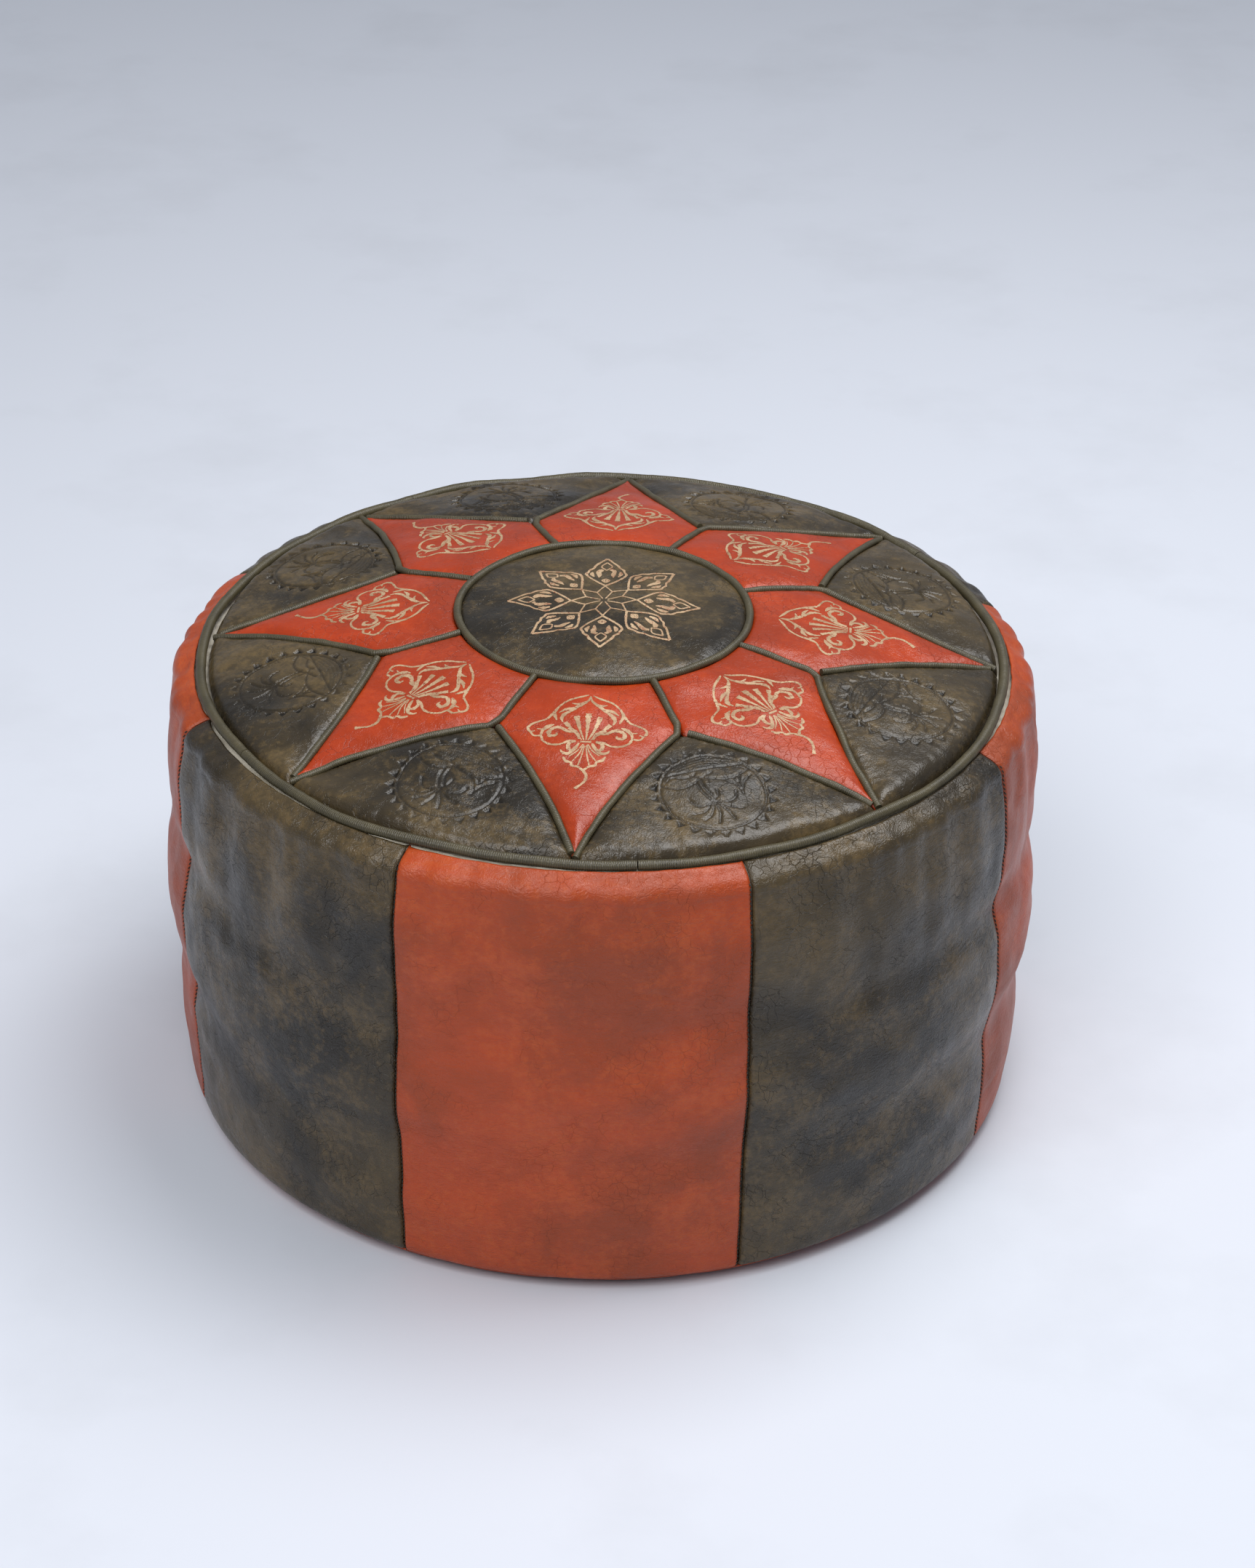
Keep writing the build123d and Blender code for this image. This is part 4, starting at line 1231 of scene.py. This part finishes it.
class POUF_OT_zip(bpy.types.Operator):
    """Finishes of the zip, whose shapes stay as the frame has them"""
    bl_idname = "pouf.zip"
    bl_label = "Zip"

    def execute(self, context):
        kinds = {"zip_tape": "woven_zip_tape", "zip_chain": "tarnished_brass", "zip_end": "tarnished_brass",
                 "zip_slider": "tarnished_brass", "zip_pull": "tarnished_brass"}
        for name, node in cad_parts.items():
            for start, kind in kinds.items():
                if name.startswith(start):
                    node.data.materials.clear()
                    node.data.materials.append(finish_of(kind))
        return {"FINISHED"}


class POUF_PT_panel(bpy.types.Panel):
    """Colours, sizes and steps of the pouf"""
    bl_idname = "POUF_PT_panel"
    bl_label = "Pouf"
    bl_space_type = "VIEW_3D"
    bl_region_type = "UI"
    bl_category = "Pouf"

    def draw(self, context):
        for group in (context.scene.pouf_dyes, context.scene.pouf_sizes, context.scene.pouf_stage):
            for name in group.bl_rna.properties.keys():
                if name not in ("rna_type", "name"):
                    self.layout.prop(group, name)
        for operator in OPERATORS:
            self.layout.operator(operator.bl_idname)


OPERATORS = (POUF_OT_stage, POUF_OT_wall, POUF_OT_crown, POUF_OT_piping, POUF_OT_gilding, POUF_OT_stitches,
             POUF_OT_base, POUF_OT_stuffing, POUF_OT_zip)
GROUPS = (PoufDyes, PoufSizes, PoufStage)


def register():
    for kind in GROUPS + OPERATORS + (POUF_PT_panel,):
        bpy.utils.register_class(kind)
    bpy.types.Scene.pouf_dyes = PointerProperty(type=PoufDyes)
    bpy.types.Scene.pouf_sizes = PointerProperty(type=PoufSizes)
    bpy.types.Scene.pouf_stage = PointerProperty(type=PoufStage)


def unregister():
    del bpy.types.Scene.pouf_dyes, bpy.types.Scene.pouf_sizes, bpy.types.Scene.pouf_stage
    for kind in reversed(GROUPS + OPERATORS + (POUF_PT_panel,)):
        bpy.utils.unregister_class(kind)


def main():
    register()
    for operator in OPERATORS:
        group, name = operator.bl_idname.split(".")
        getattr(getattr(bpy.ops, group), name)()


if __name__ == "__main__":
    main()
